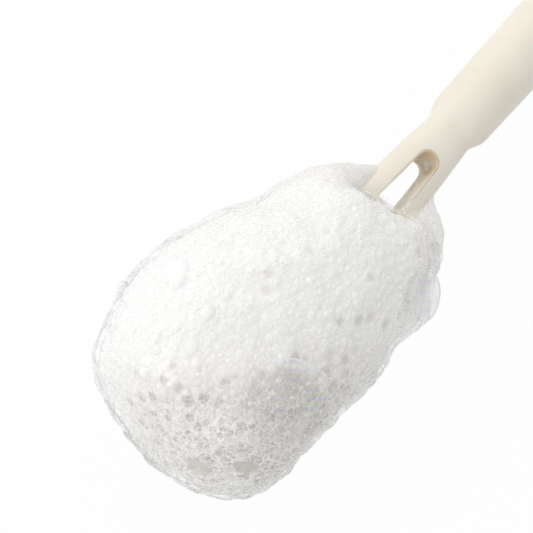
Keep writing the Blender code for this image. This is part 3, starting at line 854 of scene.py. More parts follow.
def ring_points(angle, half_width, half_depth, squareness, z):
    x = half_depth * powered(np.cos(angle), 2.0 / squareness)
    y = half_width * powered(np.sin(angle), 2.0 / squareness)
    return np.stack([x, y, z], axis=1)


def oval_ring(angle, row):
    return ring_points(angle, row[:, 1], row[:, 2], row[:, 3], row[:, 0])


def round_ring(angle, row):
    return ring_points(angle, row[:, 1], row[:, 1], 2.0, row[:, 0])


def from_rows(rows, to_points):
    """A place function for rolled() that reads one row of a table for each row of the grid."""
    last = len(rows) - 1

    def place(u, v):
        return laid(to_points(2.0 * math.pi * u, rows[np.rint(v * last).astype(int)]))

    return place


def window_cutter(name, top, bottom, sizes, gap=0.0):
    """One window of the fork, with a rounded rim that follows the fork's own curved faces."""
    half_top = float(fork_width(top + RAIL_WIDTH, sizes)) - RAIL_WIDTH - gap
    half_bottom = float(fork_width(bottom - RAIL_WIDTH, sizes)) - RAIL_WIDTH - gap
    top, bottom = top + gap, bottom - gap
    rim = sizes.rim
    turns = np.radians(np.linspace(0.0, 90.0, 9))
    side = [(0.0, 0.0)] + [(-rim + rim * math.sin(t), rim * (1.0 - math.cos(t))) for t in turns]
    side.append((2.0 * rim, 3.0 * rim))
    levels = [(-1.0, inward, grow) for inward, grow in reversed(side[1:])]
    levels += [(0.0, 0.0, 0.0)]
    levels += [(1.0, inward, grow) for inward, grow in side[1:]]
    levels = np.array(levels)
    around = 120

    def place(u, v):
        direction, inward, grow = levels[np.rint(v * (len(levels) - 1)).astype(int)].T
        step = np.rint(u * around).astype(int) % around
        quarter = around // 4
        leg, t = step // quarter, (step % quarter) / quarter
        arc = np.select([leg == 0, leg == 2], [math.pi * t, math.pi + math.pi * t], 0.0)
        top_y, top_z = (half_top + grow) * np.cos(arc), -(top + half_top) + (half_top + grow) * np.sin(arc)
        low_y = (half_bottom + grow) * np.cos(arc)
        low_z = half_bottom - bottom + (half_bottom + grow) * np.sin(arc)
        upper, lower = -(top + half_top), half_bottom - bottom
        y = np.select(
            [leg == 0, leg == 1, leg == 2],
            [top_y, -blend(half_top + grow, half_bottom + grow, t), low_y],
            blend(half_bottom + grow, half_top + grow, t),
        )
        z = np.select([leg == 0, leg == 1, leg == 2], [top_z, blend(upper, lower, t), low_z],
                      blend(lower, upper, t))
        half_width, half_depth = fork_width(-z, sizes), fork_depth(-z, sizes)
        section = fork_section(-z)
        flat = np.clip(1.0 - np.clip(np.abs(y) / half_width, 0.0, 0.98) ** section, 0.0, 1.0)
        face = half_depth * flat ** (1.0 / section)
        x = direction * np.where(inward > rim, half_depth + 2.0 * rim, face + inward)
        return laid(np.stack([x, y, z], axis=1))

    return rolled(name, around, len(levels) - 1, place)


def make_handle(sizes):
    rows = handle_rows(sizes)
    handle = rolled("handle_moulding", 96, len(rows) - 1, from_rows(rows, oval_ring))
    cutters = [window_cutter(f"window_{n}", top * MM, bottom * MM, sizes)
               for n, (top, bottom) in enumerate(WINDOWS, start=1)]
    bore = np.array([(GRIP_LENGTH + BORE_BEYOND, 0.0), (GRIP_LENGTH + BORE_BEYOND, BORE_RADIUS)]
                    + [(BORE_END + BORE_RADIUS * (1.0 - math.sin(a)), BORE_RADIUS * math.cos(a))
                       for a in np.radians(np.linspace(0.0, 90.0, 7))])
    cutters.append(rolled("bore", 48, len(bore) - 1, from_rows(bore, round_ring)))
    cut(handle, *cutters)
    smooth_by_angle(handle, 38.0)
    return handle


def make_hang_cap():
    seat = GRIP_LENGTH + SEAT_GAP
    radius = GRIP_REAR_RADIUS - GRIP_REAR_ROUND - CAP_STEP_IN + SEAT_GAP
    spigot, wall = CAP_SPIGOT_RADIUS, CAP_SPIGOT_WALL
    rows = [(seat + CAP_LENGTH * math.cos(a), radius * math.sin(a) ** CAP_DOME)
            for a in np.radians(np.linspace(0.0, 90.0, 33))]
    rows += [(seat, spigot - CAP_RIB)]
    for k in (1, 2, 3):
        middle = seat - CAP_RIB_PITCH * k
        rows += [(middle + 1.0 * MM, spigot - CAP_RIB), (middle + 0.3 * MM, spigot - 0.03 * MM),
                 (middle - 0.3 * MM, spigot - 0.03 * MM), (middle - 1.0 * MM, spigot - CAP_RIB)]
    rows += [(seat - CAP_SPIGOT_LENGTH, spigot - 0.4 * MM), (seat - CAP_SPIGOT_LENGTH, spigot - wall),
             (seat - wall, spigot - wall), (seat, 0.0)]
    cap = rolled("hang_cap_moulding", 72, len(rows) - 1, from_rows(np.array(rows), round_ring))
    cutters = []
    for side in (-1.0, 1.0):
        select_none()
        bpy.ops.mesh.primitive_cube_add(size=1.0)
        block = bpy.context.object
        corners = coordinates(block.data) * np.array(CAP_FLAT_CUTTER) * MM
        reach = 0.5 * CAP_FLAT_CUTTER[0] * MM, 0.5 * CAP_FLAT_CUTTER[2] * MM
        corners += np.array([side * (CAP_HALF_THICKNESS + reach[0]), 0.0, seat + CAP_FLAT_FROM + reach[1]])
        set_coordinates(block.data, laid(corners))
        cutters.append(block)
    half, far = HANG_HOLE_HALF_WIDTH, seat + CAP_LENGTH - HANG_HOLE_FROM_TOP
    near = far - HANG_HOLE_LENGTH
    rim = HANG_HOLE_RIM
    side = [(CAP_HALF_THICKNESS - rim + rim * math.sin(t), rim * (1.0 - math.cos(t)))
            for t in np.radians(np.linspace(0.0, 90.0, 7))] + [(CAP_HALF_THICKNESS + 3.0 * rim, 4.0 * rim)]
    levels = np.array([(-x, g) for x, g in reversed(side)] + side)

    def hole(u, v):
        x, grow = levels[np.rint(v * (len(levels) - 1)).astype(int)].T
        angle = 2.0 * math.pi * u
        y = (half + grow) * np.cos(angle)
        z = (half + grow) * np.sin(angle) + np.where(np.sin(angle) >= 0.0, far - half, near + half)
        return laid(np.stack([x, y, z], axis=1))

    cutters.append(rolled("hang_hole", 72, len(levels) - 1, hole))
    cut(cap, *cutters)
    smooth_by_angle(cap, 30.0)
    return cap


def lather_point(u, v, inset):
    """A point of the lather's outline, from its shares round and along, lowered by the inset."""
    depth, left, right, up, down = curve_through(LATHER_STATIONS, v).T * MM
    angle = 2.0 * math.pi * u
    across, over = np.sin(angle), np.cos(angle)
    inset = inset * (1.0 + 0.35 * np.maximum(across, 0.0) * eased(depth, 45.0 * MM, 70.0 * MM))
    depth = LATHER_MIDDLE + (depth - LATHER_MIDDLE) * (1.0 - inset / (50.0 * MM))
    half_width = np.maximum(np.where(across > 0.0, left, right) - inset, 0.0)
    half_depth = np.maximum(np.where(over > 0.0, down, up) - inset, 0.0)
    x = half_depth * powered(over, 2.0 / LATHER_SECTION)
    y = half_width * powered(across, 2.0 / LATHER_SECTION)
    lower = 1.8 * MM + 0.2 * np.clip(y, -10.0 * MM, 11.0 * MM) - 0.35 * np.clip(-y - 4.5 * MM, 0.0, 5.0 * MM)
    beside = eased(y, -5.0 * MM, 0.0) * (1.0 - eased(y, 9.0 * MM, 14.0 * MM))
    lower = lower + 1.5 * MM * beside * (x < 3.0 * MM)
    depth = depth + lower * (1.0 - eased(depth, 38.0 * MM, 50.0 * MM))
    points = laid(np.stack([x, y, -depth], axis=1))
    points[:, 2] = np.maximum(points[:, 2], LATHER_OFF_FLOOR)
    return points


def coarseness_and_shade(points):
    """How coarse the lather is at points of the row frame: it drains to the minus Y side, the tip and the
    underside. The same share darkens the core's colour there, partly painted shade of that less lit side.
    """
    low = -(0.62 * points[:, 0] + 0.78 * points[:, 1])
    under = eased(-points[:, 2], -14.0 * MM, -2.0 * MM)
    mouth = eased(points[:, 0], 30.0 * MM, 42.0 * MM) * eased(-points[:, 1], 6.0 * MM, 13.0 * MM)
    dense = eased(points[:, 1], 0.0, 10.0 * MM) * (1.0 - eased(points[:, 2], 22.0 * MM, 40.0 * MM))
    coarse = np.maximum(eased(low, 4.0 * MM, 28.0 * MM), np.maximum(0.5 * under, 0.6 * mouth))
    return coarse * (1.0 - 0.9 * dense)


def set_attribute(mesh, name, values):
    layer = mesh.attributes.new(name, "FLOAT", "POINT")
    layer.data.foreach_set("value", np.ascontiguousarray(values, dtype=np.float32))


def rolling(points, seed, waves, shortest, longest, rise):
    """A gentle unevenness, in metres: the sum of waves that run in all directions."""
    chance = np.random.default_rng(seed)
    total = np.zeros(len(points))
    for _ in range(waves):
        way = chance.normal(size=3)
        length = blend(shortest, longest, chance.random())
        total += np.sin(points @ way / np.linalg.norm(way) * (2.0 * math.pi / length) + 6.3 * chance.random())
    return total * rise / math.sqrt(0.5 * waves)


def vertex_normals(mesh):
    found = np.empty(len(mesh.vertices) * 3)
    mesh.vertex_normals.foreach_get("vector", found)
    return found.reshape(-1, 3)


def push(core, amount):
    """Moves each vertex along its normal, evenly round the closed ends, and keeps it off the floor."""
    points, normals = coordinates(core.data), vertex_normals(core.data)
    for pole in laid(np.array(LATHER_POLES) * MM):
        near = 1.0 - eased(np.linalg.norm(points - pole, axis=1), 0.6 * MM, 2.6 * MM)
        if near.any():
            amount = blend(amount, np.average(amount, weights=near), near)
            normals = blend(normals, np.average(normals, axis=0, weights=near), near[:, None])
    points = points + normals * amount[:, None]
    points[:, 2] = np.maximum(points[:, 2], LATHER_OFF_FLOOR)
    set_coordinates(core.data, points)


def nearest_domes(points, where, radius):
    """For each point, the highest dome over it: its height as a share of its radius, and its number."""
    tree = KDTree(len(points))
    for n, point in enumerate(points):
        tree.insert(point, n)
    tree.balance()
    top = np.zeros(len(points))
    owner = np.full(len(points), -1)
    for n, (place, reach) in enumerate(zip(where, radius)):
        for _, index, distance in tree.find_range(place, reach):
            share = math.sqrt(max(0.0, 1.0 - (distance / reach) ** 2))
            if share * reach > top[index] * (radius[owner[index]] if owner[index] >= 0 else 0.0):
                top[index] = share
                owner[index] = n
    return top, owner


def named_bubble(wanted_kind):
    return next(row for row in NAMED_BUBBLES if row[0] == wanted_kind)


def footprint(points, bubble, longer=1.0, wider=1.0):
    """How points lie to a named bubble: from its middle, and as shares of its oval's half sizes."""
    _, (x, y, depth), length, width, turn = bubble
    from_middle = points - laid(np.array([[x, y, -depth]]) * MM)[0]
    along, aside = np.array(camera_way(turn)), np.array(camera_way(turn + 90.0))
    share = np.hypot(from_middle @ along / (longer * length * MM), from_middle @ aside / (wider * width * MM))
    return from_middle, share


def lather_form(name, inset):
    """The lather's whole outline, closed, at some depth under its skin, with its larger swells."""
    def place(u, v):
        even = 0.5 - 0.5 * np.cos(math.pi * v)
        return lather_point(u, blend(v, even, 0.35), inset)

    form = rolled(name, 420, 228, place)
    points = coordinates(form.data)
    from_middle, share = footprint(points, named_bubble("iridescent"), 1.35, 2.6)
    near = np.linalg.norm(from_middle, axis=1) < 12.0 * MM
    room = np.where(near, 1.0 - eased(share, 0.35, 1.0), 0.0)
    push(form, rolling(points, 5, 36, 9.0 * MM, 22.0 * MM, 0.22 * MM) - 3.6 * MM * room)
    return form


def swell(form, count, seed, smallest, largest, crowding, rise):
    """Domes pushed out of a form, packed side by side; returns how far out of its dome each vertex lies."""
    where, _ = surface_samples(form, count, seed)
    chance = np.random.default_rng(seed + 1)
    radius = blend(smallest, largest, chance.random(len(where)) ** 1.8)
    kept = packed_places(where, radius, overlap=crowding)
    top, owner = nearest_domes(coordinates(form.data), where[kept], radius[kept])
    push(form, np.where(owner >= 0, top * radius[kept][owner] * rise, 0.0))
    return np.where(owner >= 0, 1.0 - top, 1.0)


def make_lather_core(sizes):
    """The dense white lather under the clear bubbles, swollen in lumps and pitted where it is coarse. Its pits, and
    its hollows under the large flat bubble and the ovals, carry painted shade.
    """
    core = lather_form("lather_core", sizes.skin)
    swell(core, *LARGE_SWELLS, 0.05)
    rim = swell(core, 9000, 4, 0.85 * MM, 1.7 * MM, 0.86, 0.17)
    named_places, named_spans = named_pits(core)
    places, spans, depths = pits(core, sizes, named_places, named_spans)
    points = coordinates(core.data)
    under_lens = lens_cover(points)
    top, owner = nearest_domes(points, places, spans)
    # painted shade in the pits, most at their middle
    hollow = np.where(owner >= 0, depths[owner] * eased(top, 0.1, 0.9), 0.0)
    out = bubble_rise(points, "bright")
    oval = oval_cover(points)
    pressed_in = np.where(owner >= 0, 0.20 * top * spans[owner], 0.0)
    push(core, -pressed_in - 0.8 * MM * under_lens + 0.9 * MM * out - 0.5 * MM * oval)
    calm = np.clip(out * 1.6, 0.0, 1.0)
    # painted shade also under the large flat bubble and in the ovals
    hollow = np.maximum(np.maximum(hollow, 0.50 * under_lens), 0.55 * oval)
    # rim: how far out of its dome a vertex lies; the lather's material paints shade in these creases
    set_attribute(core.data, "rim", rim * (1.0 - calm))
    set_attribute(core.data, "calm", calm)
    set_attribute(core.data, "coarse", coarseness_and_shade(points) * (1.0 - 0.8 * oval))
    set_attribute(core.data, "hollow", hollow * (1.0 - calm))
    return core, places, spans


def bubble_rise(points, wanted_kind):
    """How high points lie on the large bubbles of a kind, from 0 beside them to 1 at their middle."""
    out = np.zeros(len(points))
    for bubble in NAMED_BUBBLES:
        if bubble[0] == wanted_kind:
            from_middle, share = footprint(points, bubble)
            near = np.linalg.norm(from_middle, axis=1) < 2.0 * bubble[2] * MM
            out = np.maximum(out, np.where(near, np.sqrt(np.clip(1.0 - share**2, 0.0, 1.0)), 0.0))
    return out


def oval_cover(points):
    """How far points lie inside the ovals at the tip, from 0 outside them to 1."""
    return np.clip(1.5 * bubble_rise(points, "oval"), 0.0, 1.0)


def lens_cover(points):
    """How far inside the footprint of the large flat bubble points lie, from 0 at its edge to 1."""
    lens = named_bubble("lens")
    from_middle, share = footprint(points, lens)
    near = np.linalg.norm(from_middle, axis=1) < 1.4 * lens[2] * MM
    return np.where(near, 1.0 - eased(share, 0.62, 1.0), 0.0) * lens_share(from_middle)


def lens_share(from_middle):
    """How strongly the large flat bubble shows, with its painted shade and its painted outline: most at its upper
    right, least at its lower left.
    """
    rightward = eased(from_middle @ np.array(camera_way(0.0)), -13.0 * MM, 4.0 * MM)
    downward = eased(from_middle @ np.array(camera_way(90.0)), -2.0 * MM, 12.0 * MM)
    return blend(0.3, 1.0, rightward) * blend(1.0, 0.6, downward)


def make_lather_skin():
    """The clear outermost film, which gives the lather its smooth, scalloped outline."""
    skin = lather_form("lather_skin", 0.25 * MM)
    swell(skin, *LARGE_SWELLS, 0.08)
    swell(skin, 2600, 14, 1.5 * MM, 3.4 * MM, 0.84, 0.21)
    points = coordinates(skin.data)
    clear = np.maximum(lens_cover(points), oval_cover(points))
    set_attribute(skin.data, "threads", coarseness_and_shade(points) * (1.0 - clear))
    return skin


def camera_way(turn):
    """A direction in the row frame, at an angle from the camera's right towards its down."""
    angle = math.radians(turn)
    return (Vector(CAMERA_RIGHT) * math.cos(angle) + Vector(CAMERA_DOWN) * math.sin(angle)).normalized()


def surface_tree(piece):
    return BVHTree.FromObject(piece, bpy.context.evaluated_depsgraph_get())


def named_pits(core):
    """The cells that stand out dark with painted shade, as places on the core and their radii."""
    tree = surface_tree(core)
    places, spans = [], []
    for kind, (x, y, depth), _, width, _ in NAMED_BUBBLES:
        if kind == "dark":
            middle = Vector(laid(np.array([[x * MM, y * MM, -depth * MM]]))[0])
            places.append(np.array(tree.find_nearest(middle)[0]))
            spans.append(width * MM)
    return np.array(places), np.array(spans)


def pits(core, sizes, named_places, named_spans):
    """The larger open cells of the coarse lather: place, radius and how much painted shade each holds."""
    chance = np.random.default_rng(8)
    where, _ = surface_samples(core, sizes.pits * 6, 9)
    coarse = coarseness_and_shade(where)
    wanted = chance.random(len(where)) < 0.03 + 0.97 * coarse**1.4
    wanted &= bubble_rise(where, "oval") <= 0.3
    where, coarse = where[wanted], coarse[wanted]
    radius = blend(0.8, 2.5, chance.random(len(where)) ** 1.8) * blend(0.7, 1.0, coarse) * MM
    kept = packed_places(where, radius, list(zip(named_places.tolist(), named_spans.tolist())), 1.08)
    kept = kept[: sizes.pits]
    dark = blend(0.3, 0.9, chance.random(len(kept)) ** 1.2) * blend(0.3, 1.0, coarse[kept])
    return (np.concatenate([named_places, where[kept]]), np.concatenate([named_spans, radius[kept]]),
            np.concatenate([0.3 + 0.6 * coarseness_and_shade(named_places), dark]))


def dome_shape(subdivisions, below):
    """A bubble's dome: the part of a ball above a height, with how far down each vertex lies."""
    select_none()
    bpy.ops.mesh.primitive_ico_sphere_add(subdivisions=subdivisions, radius=1.0)
    ball = bpy.context.object
    bpy.ops.object.mode_set(mode="EDIT")
    bpy.ops.mesh.select_all(action="SELECT")
    bpy.ops.mesh.bisect(plane_co=(0.0, 0.0, below), plane_no=(0.0, 0.0, 1.0), clear_inner=True)
    bpy.ops.mesh.select_all(action="SELECT")
    bpy.ops.mesh.quads_convert_to_tris()
    bpy.ops.object.mode_set(mode="OBJECT")
    points = coordinates(ball.data)
    faces = np.array([tuple(p.vertices) for p in ball.data.polygons])
    bpy.data.objects.remove(ball, do_unlink=True)
    return points, faces


def surface_samples(core, count, seed):
    """Points spread evenly over the core, with their normals."""
    mesh = core.data
    mesh.calc_loop_triangles()
    points = coordinates(mesh)
    corners = np.empty(len(mesh.loop_triangles) * 3, dtype=int)
    mesh.loop_triangles.foreach_get("vertices", corners)
    corners = corners.reshape(-1, 3)
    a, b, c = points[corners[:, 0]], points[corners[:, 1]], points[corners[:, 2]]
    across = np.cross(b - a, c - a)
    area = np.linalg.norm(across, axis=1)
    chance = np.random.default_rng(seed)
    picked = chance.choice(len(area), count, p=area / area.sum())
    r, s = np.sqrt(chance.random(count)), chance.random(count)
    where = a[picked] * (1.0 - r)[:, None] + b[picked] * (r * (1.0 - s))[:, None] + c[picked] * (r * s)[:, None]
    normals = across[picked] / area[picked][:, None]
    return where, normals


def packed_places(where, radius, taken=(), overlap=0.82):
    """Which of the places, tried in turn, keep their bubble clear of those placed before."""
    cell = 1.6 * MM
    reach_small = 0.75 * MM
    grid = {}

    def register(point, r):
        spread = int(math.ceil((r + reach_small) / cell))
        home = [int(math.floor(x / cell)) for x in point]
        for i in range(home[0] - spread, home[0] + spread + 1):
            for j in range(home[1] - spread, home[1] + spread + 1):
                for k in range(home[2] - spread, home[2] + spread + 1):
                    grid.setdefault((i, j, k), []).append((point, r))

    for point, r in taken:
        register(point, r)
    kept = []
    for n in range(len(where)):
        point, r = where[n].tolist(), float(radius[n])
        key = tuple(int(math.floor(x / cell)) for x in point)
        for other, reach in grid.get(key, ()):
            apart = (r + reach) * overlap
            dx, dy, dz = point[0] - other[0], point[1] - other[1], point[2] - other[2]
            if dx * dx + dy * dy + dz * dz < apart * apart:
                break
        else:
            kept.append(n)
            register(point, r)
    return np.array(kept, dtype=int)


def bubble_cluster(name, shape, where, normals, radius, height, seed, sink=0.0):
    """One mesh of many bubbles: each is a copy of the dome, turned to its normal."""
    points, faces = shape
    chance = np.random.default_rng(seed)
    count = len(where)
    spin = chance.random(count) * 2.0 * math.pi
    helper = np.where(np.abs(normals[:, 2:3]) < 0.9, np.array([[0.0, 0.0, 1.0]]), np.array([[1.0, 0.0, 0.0]]))
    first = np.cross(helper, normals)
    first /= np.linalg.norm(first, axis=1)[:, None]
    second = np.cross(normals, first)
    one = first * np.cos(spin)[:, None] + second * np.sin(spin)[:, None]
    two = np.cross(normals, one)
    local = points[None, :, :] * radius[:, None, None]
    co = (local[:, :, 0:1] * one[:, None, :] + local[:, :, 1:2] * two[:, None, :]
          + local[:, :, 2:3] * height[:, None, None] * normals[:, None, :])
    co += (where - normals * (sink * radius)[:, None])[:, None, :]
    co = co.reshape(-1, 3)
    co[:, 2] = np.maximum(co[:, 2], BUBBLE_OFF_FLOOR)
    corners = (faces[None, :, :] + (np.arange(count) * len(points))[:, None, None]).reshape(-1)
    mesh = bpy.data.meshes.new(name)
    mesh.vertices.add(len(co))
    mesh.vertices.foreach_set("co", co.ravel())
    mesh.loops.add(len(corners))
    mesh.loops.foreach_set("vertex_index", corners.astype(np.int32))
    mesh.polygons.add(len(corners) // 3)
    mesh.polygons.foreach_set("loop_start", np.arange(0, len(corners), 3, dtype=np.int32))
    mesh.update(calc_edges=True)
    mesh.shade_smooth()
    set_attribute(mesh, "tone", np.repeat(chance.random(count), len(points)))
    piece = bpy.data.objects.new(name, mesh)
    bpy.context.scene.collection.objects.link(piece)
    return piece


def share_out(name, shape, chosen, height, seed, sink=0.0):
    """The bubbles as one or more pieces, each under the count of triangles that one piece may have."""
    where, normals, radius = chosen
    each = max(1, MOST_TRIANGLES // len(shape[1]))
    pieces = []
    for k, start in enumerate(range(0, len(where), each)):
        part = slice(start, start + each)
        label = f"{name}_{k + 1}"
        pieces.append(
            bubble_cluster(label, shape, where[part], normals[part], radius[part], height[part], seed + k, sink)
        )
    return pieces


def make_grains(core, sizes, places, spans):
    """The small bubbles: soft white beads packed side by side over the core."""
    chance = np.random.default_rng(11)
    count = sizes.grains * 4
    where, normals = surface_samples(core, count, 5)
    share = np.linspace(0.0, 1.0, count)
    radius = np.where(share < 0.16, blend(0.9, 1.6, chance.random(count) ** 1.6),
                      blend(0.5, 0.95, chance.random(count))) * MM
    free = chance.random(count) > 0.9 * eased(lens_cover(where), 0.1, 0.8)
    free &= chance.random(count) > 0.92 * coarseness_and_shade(where)
    free &= (bubble_rise(where, "bright") < 0.05) & (bubble_rise(where, "oval") < 0.2)
    where, normals, radius = where[free], normals[free], radius[free]
    kept = packed_places(where, radius, taken=list(zip(places.tolist(), (0.9 * spans).tolist())), overlap=0.86)
    kept = kept[: sizes.grains]
    chosen = where[kept], normals[kept], radius[kept]
    height = blend(0.3, 0.52, chance.random(len(kept)))
    return share_out("lather_beads", dome_shape(2, 0.2), chosen, height, 41, 0.25)


def make_slot_bubbles():
    """The few bubbles that stand in the bottom of the slot and on the rails, just above the dense lather."""
    chance = np.random.default_rng(19)
    count = 700
    depth = blend(35.2, 40.0, chance.random(count) ** 0.6)
    across = blend(-9.0, 10.0, chance.random(count))
    in_slot = np.abs(across) < 3.4
    over = np.where(in_slot, blend(-4.5, 3.0, chance.random(count)), -6.2)
    keep = in_slot | (depth > 36.6 + 0.2 * across + 1.5 * (across > -2.0))
    where = laid(np.stack([over, across, -depth], axis=1) * MM)[keep]
    radius = (blend(0.3, 0.85, chance.random(count) ** 1.6) * MM)[keep]
    kept = packed_places(where, radius, overlap=0.95)[:90]
    normals = np.tile((0.0, 0.0, 1.0), (len(kept), 1))
    chosen = where[kept], normals, radius[kept]
    return share_out("slot_bubbles", dome_shape(2, -2.0), chosen, np.ones(len(kept)), 47, 0.0)


def make_lobe(name, side, stations, sizes, seed):
    """The wet, half clear lather that climbs one outer side of the fork."""
    def place(u, v):
        depth, reach, thick = curve_through(stations, v).T * MM
        deeper = (2.4 if side < 0.0 else 0.0) * eased(depth, 28.0 * MM, 36.0 * MM)
        inner = fork_width(depth, sizes) - (1.6 + deeper) * MM
        end = np.sqrt(np.clip(np.minimum(v, 1.0 - v) / 0.05, 0.0, 1.0))
        angle = 2.0 * math.pi * u
        y = 0.5 * (inner + reach) + 0.5 * (reach - inner) * powered(np.sin(angle), 0.9) * end
        return laid(np.stack([thick * powered(np.cos(angle), 0.9) * end, side * y, -depth], axis=1))

    lobe = rolled(name, 96, 72, place)
    swell(lobe, 500, seed, 0.9 * MM, 2.4 * MM, 0.84, 0.16)
    return lobe


def make_slot_lining(sizes):
    """A thin lining in the round top end of the fork's slot, thickest in the middle of the end, that carries the
    painted shade of that recess.
    """
    top, bottom = WINDOWS[0][0] * MM, WINDOWS[0][1] * MM
    half = float(fork_width(top + RAIL_WIDTH, sizes)) - RAIL_WIDTH
    half_low = float(fork_width(bottom - RAIL_WIDTH, sizes)) - RAIL_WIDTH
    spreads = (half_low - half) / (bottom - half_low - top - half)
    leg, arc = 12.0 * MM, 0.5 * math.pi * half

    def place(u, v):
        along = (2.0 * v - 1.0) * (leg + arc)
        turn = np.clip(along / half, -0.5 * math.pi, 0.5 * math.pi)
        down = np.maximum(0.0, np.abs(along) - arc)
        share = 1.0 - np.abs(along) / (leg + arc)
        thick = (0.10 + 0.55 * eased(share, 0.5, 0.97)) * MM * np.minimum(1.0, share * 12.0)
        ring = 2.0 * math.pi * u
        x = 5.75 * MM * powered(np.cos(ring), 0.45)
        onto_rim = np.clip((np.abs(x) - 6.0 * MM + sizes.rim) / sizes.rim, 0.0, 1.0)
        outer = -0.05 * MM - sizes.rim * (1.0 - np.sqrt(1.0 - onto_rim**2))
        inward = outer + (thick - outer) * np.maximum(0.0, powered(-np.sin(ring), 0.7))
        y = (half + spreads * down - inward) * np.sin(turn)
        z = -(top + half) + (half - inward) * np.cos(turn) - down
        return laid(np.stack([x, y, z], axis=1))

    lining = rolled("slot_lining", 40, 120, place)
    points = coordinates(lining.data)
    local = unlaid(points)
    turn = np.arctan2(local[:, 1], local[:, 2] + top + half)
    set_attribute(lining.data, "along", turn * half / MM * 1.4)
    # painted shade: a darker patch on the right wall and a darker band along the front rim
    middle = np.array((-2.5, -2.9, -20.2)) * MM
    patch = np.exp(-((np.linalg.norm(local - middle, axis=1) / (1.6 * MM)) ** 2))
    ring = 0.7 * eased(-local[:, 0], 3.6 * MM, 5.4 * MM) * eased(local[:, 2], -21.0 * MM, -17.5 * MM)
    set_attribute(lining.data, "stain", np.maximum(patch, ring))
    # the painted shade fades out further down the slot
    set_attribute(lining.data, "fade", 0.85 * eased(-local[:, 2], 22.0 * MM, 29.0 * MM))
    froth = np.array((-0.6, -1.4, -18.0)) * MM
    set_attribute(lining.data, "froth", np.exp(-((np.linalg.norm(local - froth, axis=1) / (1.9 * MM)) ** 2)))
    return lining


def make_clear_bubbles(core, sizes, places, spans):
    """The clear bubbles of the skin: a dome over each open cell, and whole bubbles on top."""
    chance = np.random.default_rng(23)
    tree = surface_tree(core)
    alone = packed_places(places, spans, overlap=0.9)
    places, spans = places[alone], spans[alone]
    normals = np.array([tree.find_nearest(place)[1] for place in places])
    pieces = share_out("cell_domes", dome_shape(2, 0.1), (places, normals, spans * 1.04),
                       np.full(len(places), 0.5), 57, 0.0)
    count = sizes.clear * 5
    where, normals = surface_samples(core, count, 17)
    wide = blend(1.7, 2.8, coarseness_and_shade(where))
    radius = blend(0.7, wide, chance.random(count) ** 2.6) * MM
    kept = packed_places(where, radius, overlap=1.02)[: sizes.clear]
    chosen = where[kept], normals[kept], radius[kept]
    height = blend(0.55, 0.85, chance.random(len(kept)))
    return pieces + share_out("clear_bubbles", dome_shape(2, 0.05), chosen, height, 61, 0.0)


def make_named_bubble(number, core_tree, kind, place, length, width, turn):
    """One of the bubbles that stand out: an oval one, flattened where it lies on the lather."""
    x, y, depth = place
    middle = Vector(laid(np.array([[x, y, -depth]]) * MM)[0])
    ground, normal, _, _ = core_tree.find_nearest(middle)
    along = camera_way(turn)
    along = (along - normal * along.dot(normal)).normalized()
    aside = normal.cross(along)
    flat = {"bright": 0.72}.get(kind, 1.0)
    sunk = {"bright": 0.35, "iridescent": -0.15}.get(kind, 0.0)
    select_none()
    bpy.ops.mesh.primitive_uv_sphere_add(segments=56, ring_count=28, radius=1.0)
    bubble = bpy.context.object
    bubble.name = bubble.data.name = f"{kind}_bubble_{number}"
    ball = coordinates(bubble.data)
    wobble = 1.0 + rolling(ball, 70 + number, 8, 1.6, 3.2, 0.022)
    ball *= wobble[:, None]
    half = np.array([length, width, width * flat]) * MM
    if kind == "clear":
        middle = ground + normal * max((middle - ground).dot(normal), 0.25 * width * MM)
    base = np.array(ground if kind == "bright" else middle) - np.array(normal) * half[2] * sunk
    points = base + ball @ (np.stack([along, aside, normal]) * half[:, None])
    points[:, 2] = np.maximum(points[:, 2], BUBBLE_OFF_FLOOR)
    set_coordinates(bubble.data, points)
    set_attribute(bubble.data, "bands", points @ np.array(camera_way(90.0)) / MM)
    set_attribute(bubble.data, "share", np.ones(len(points)))
    bpy.ops.object.shade_smooth()
    return bubble


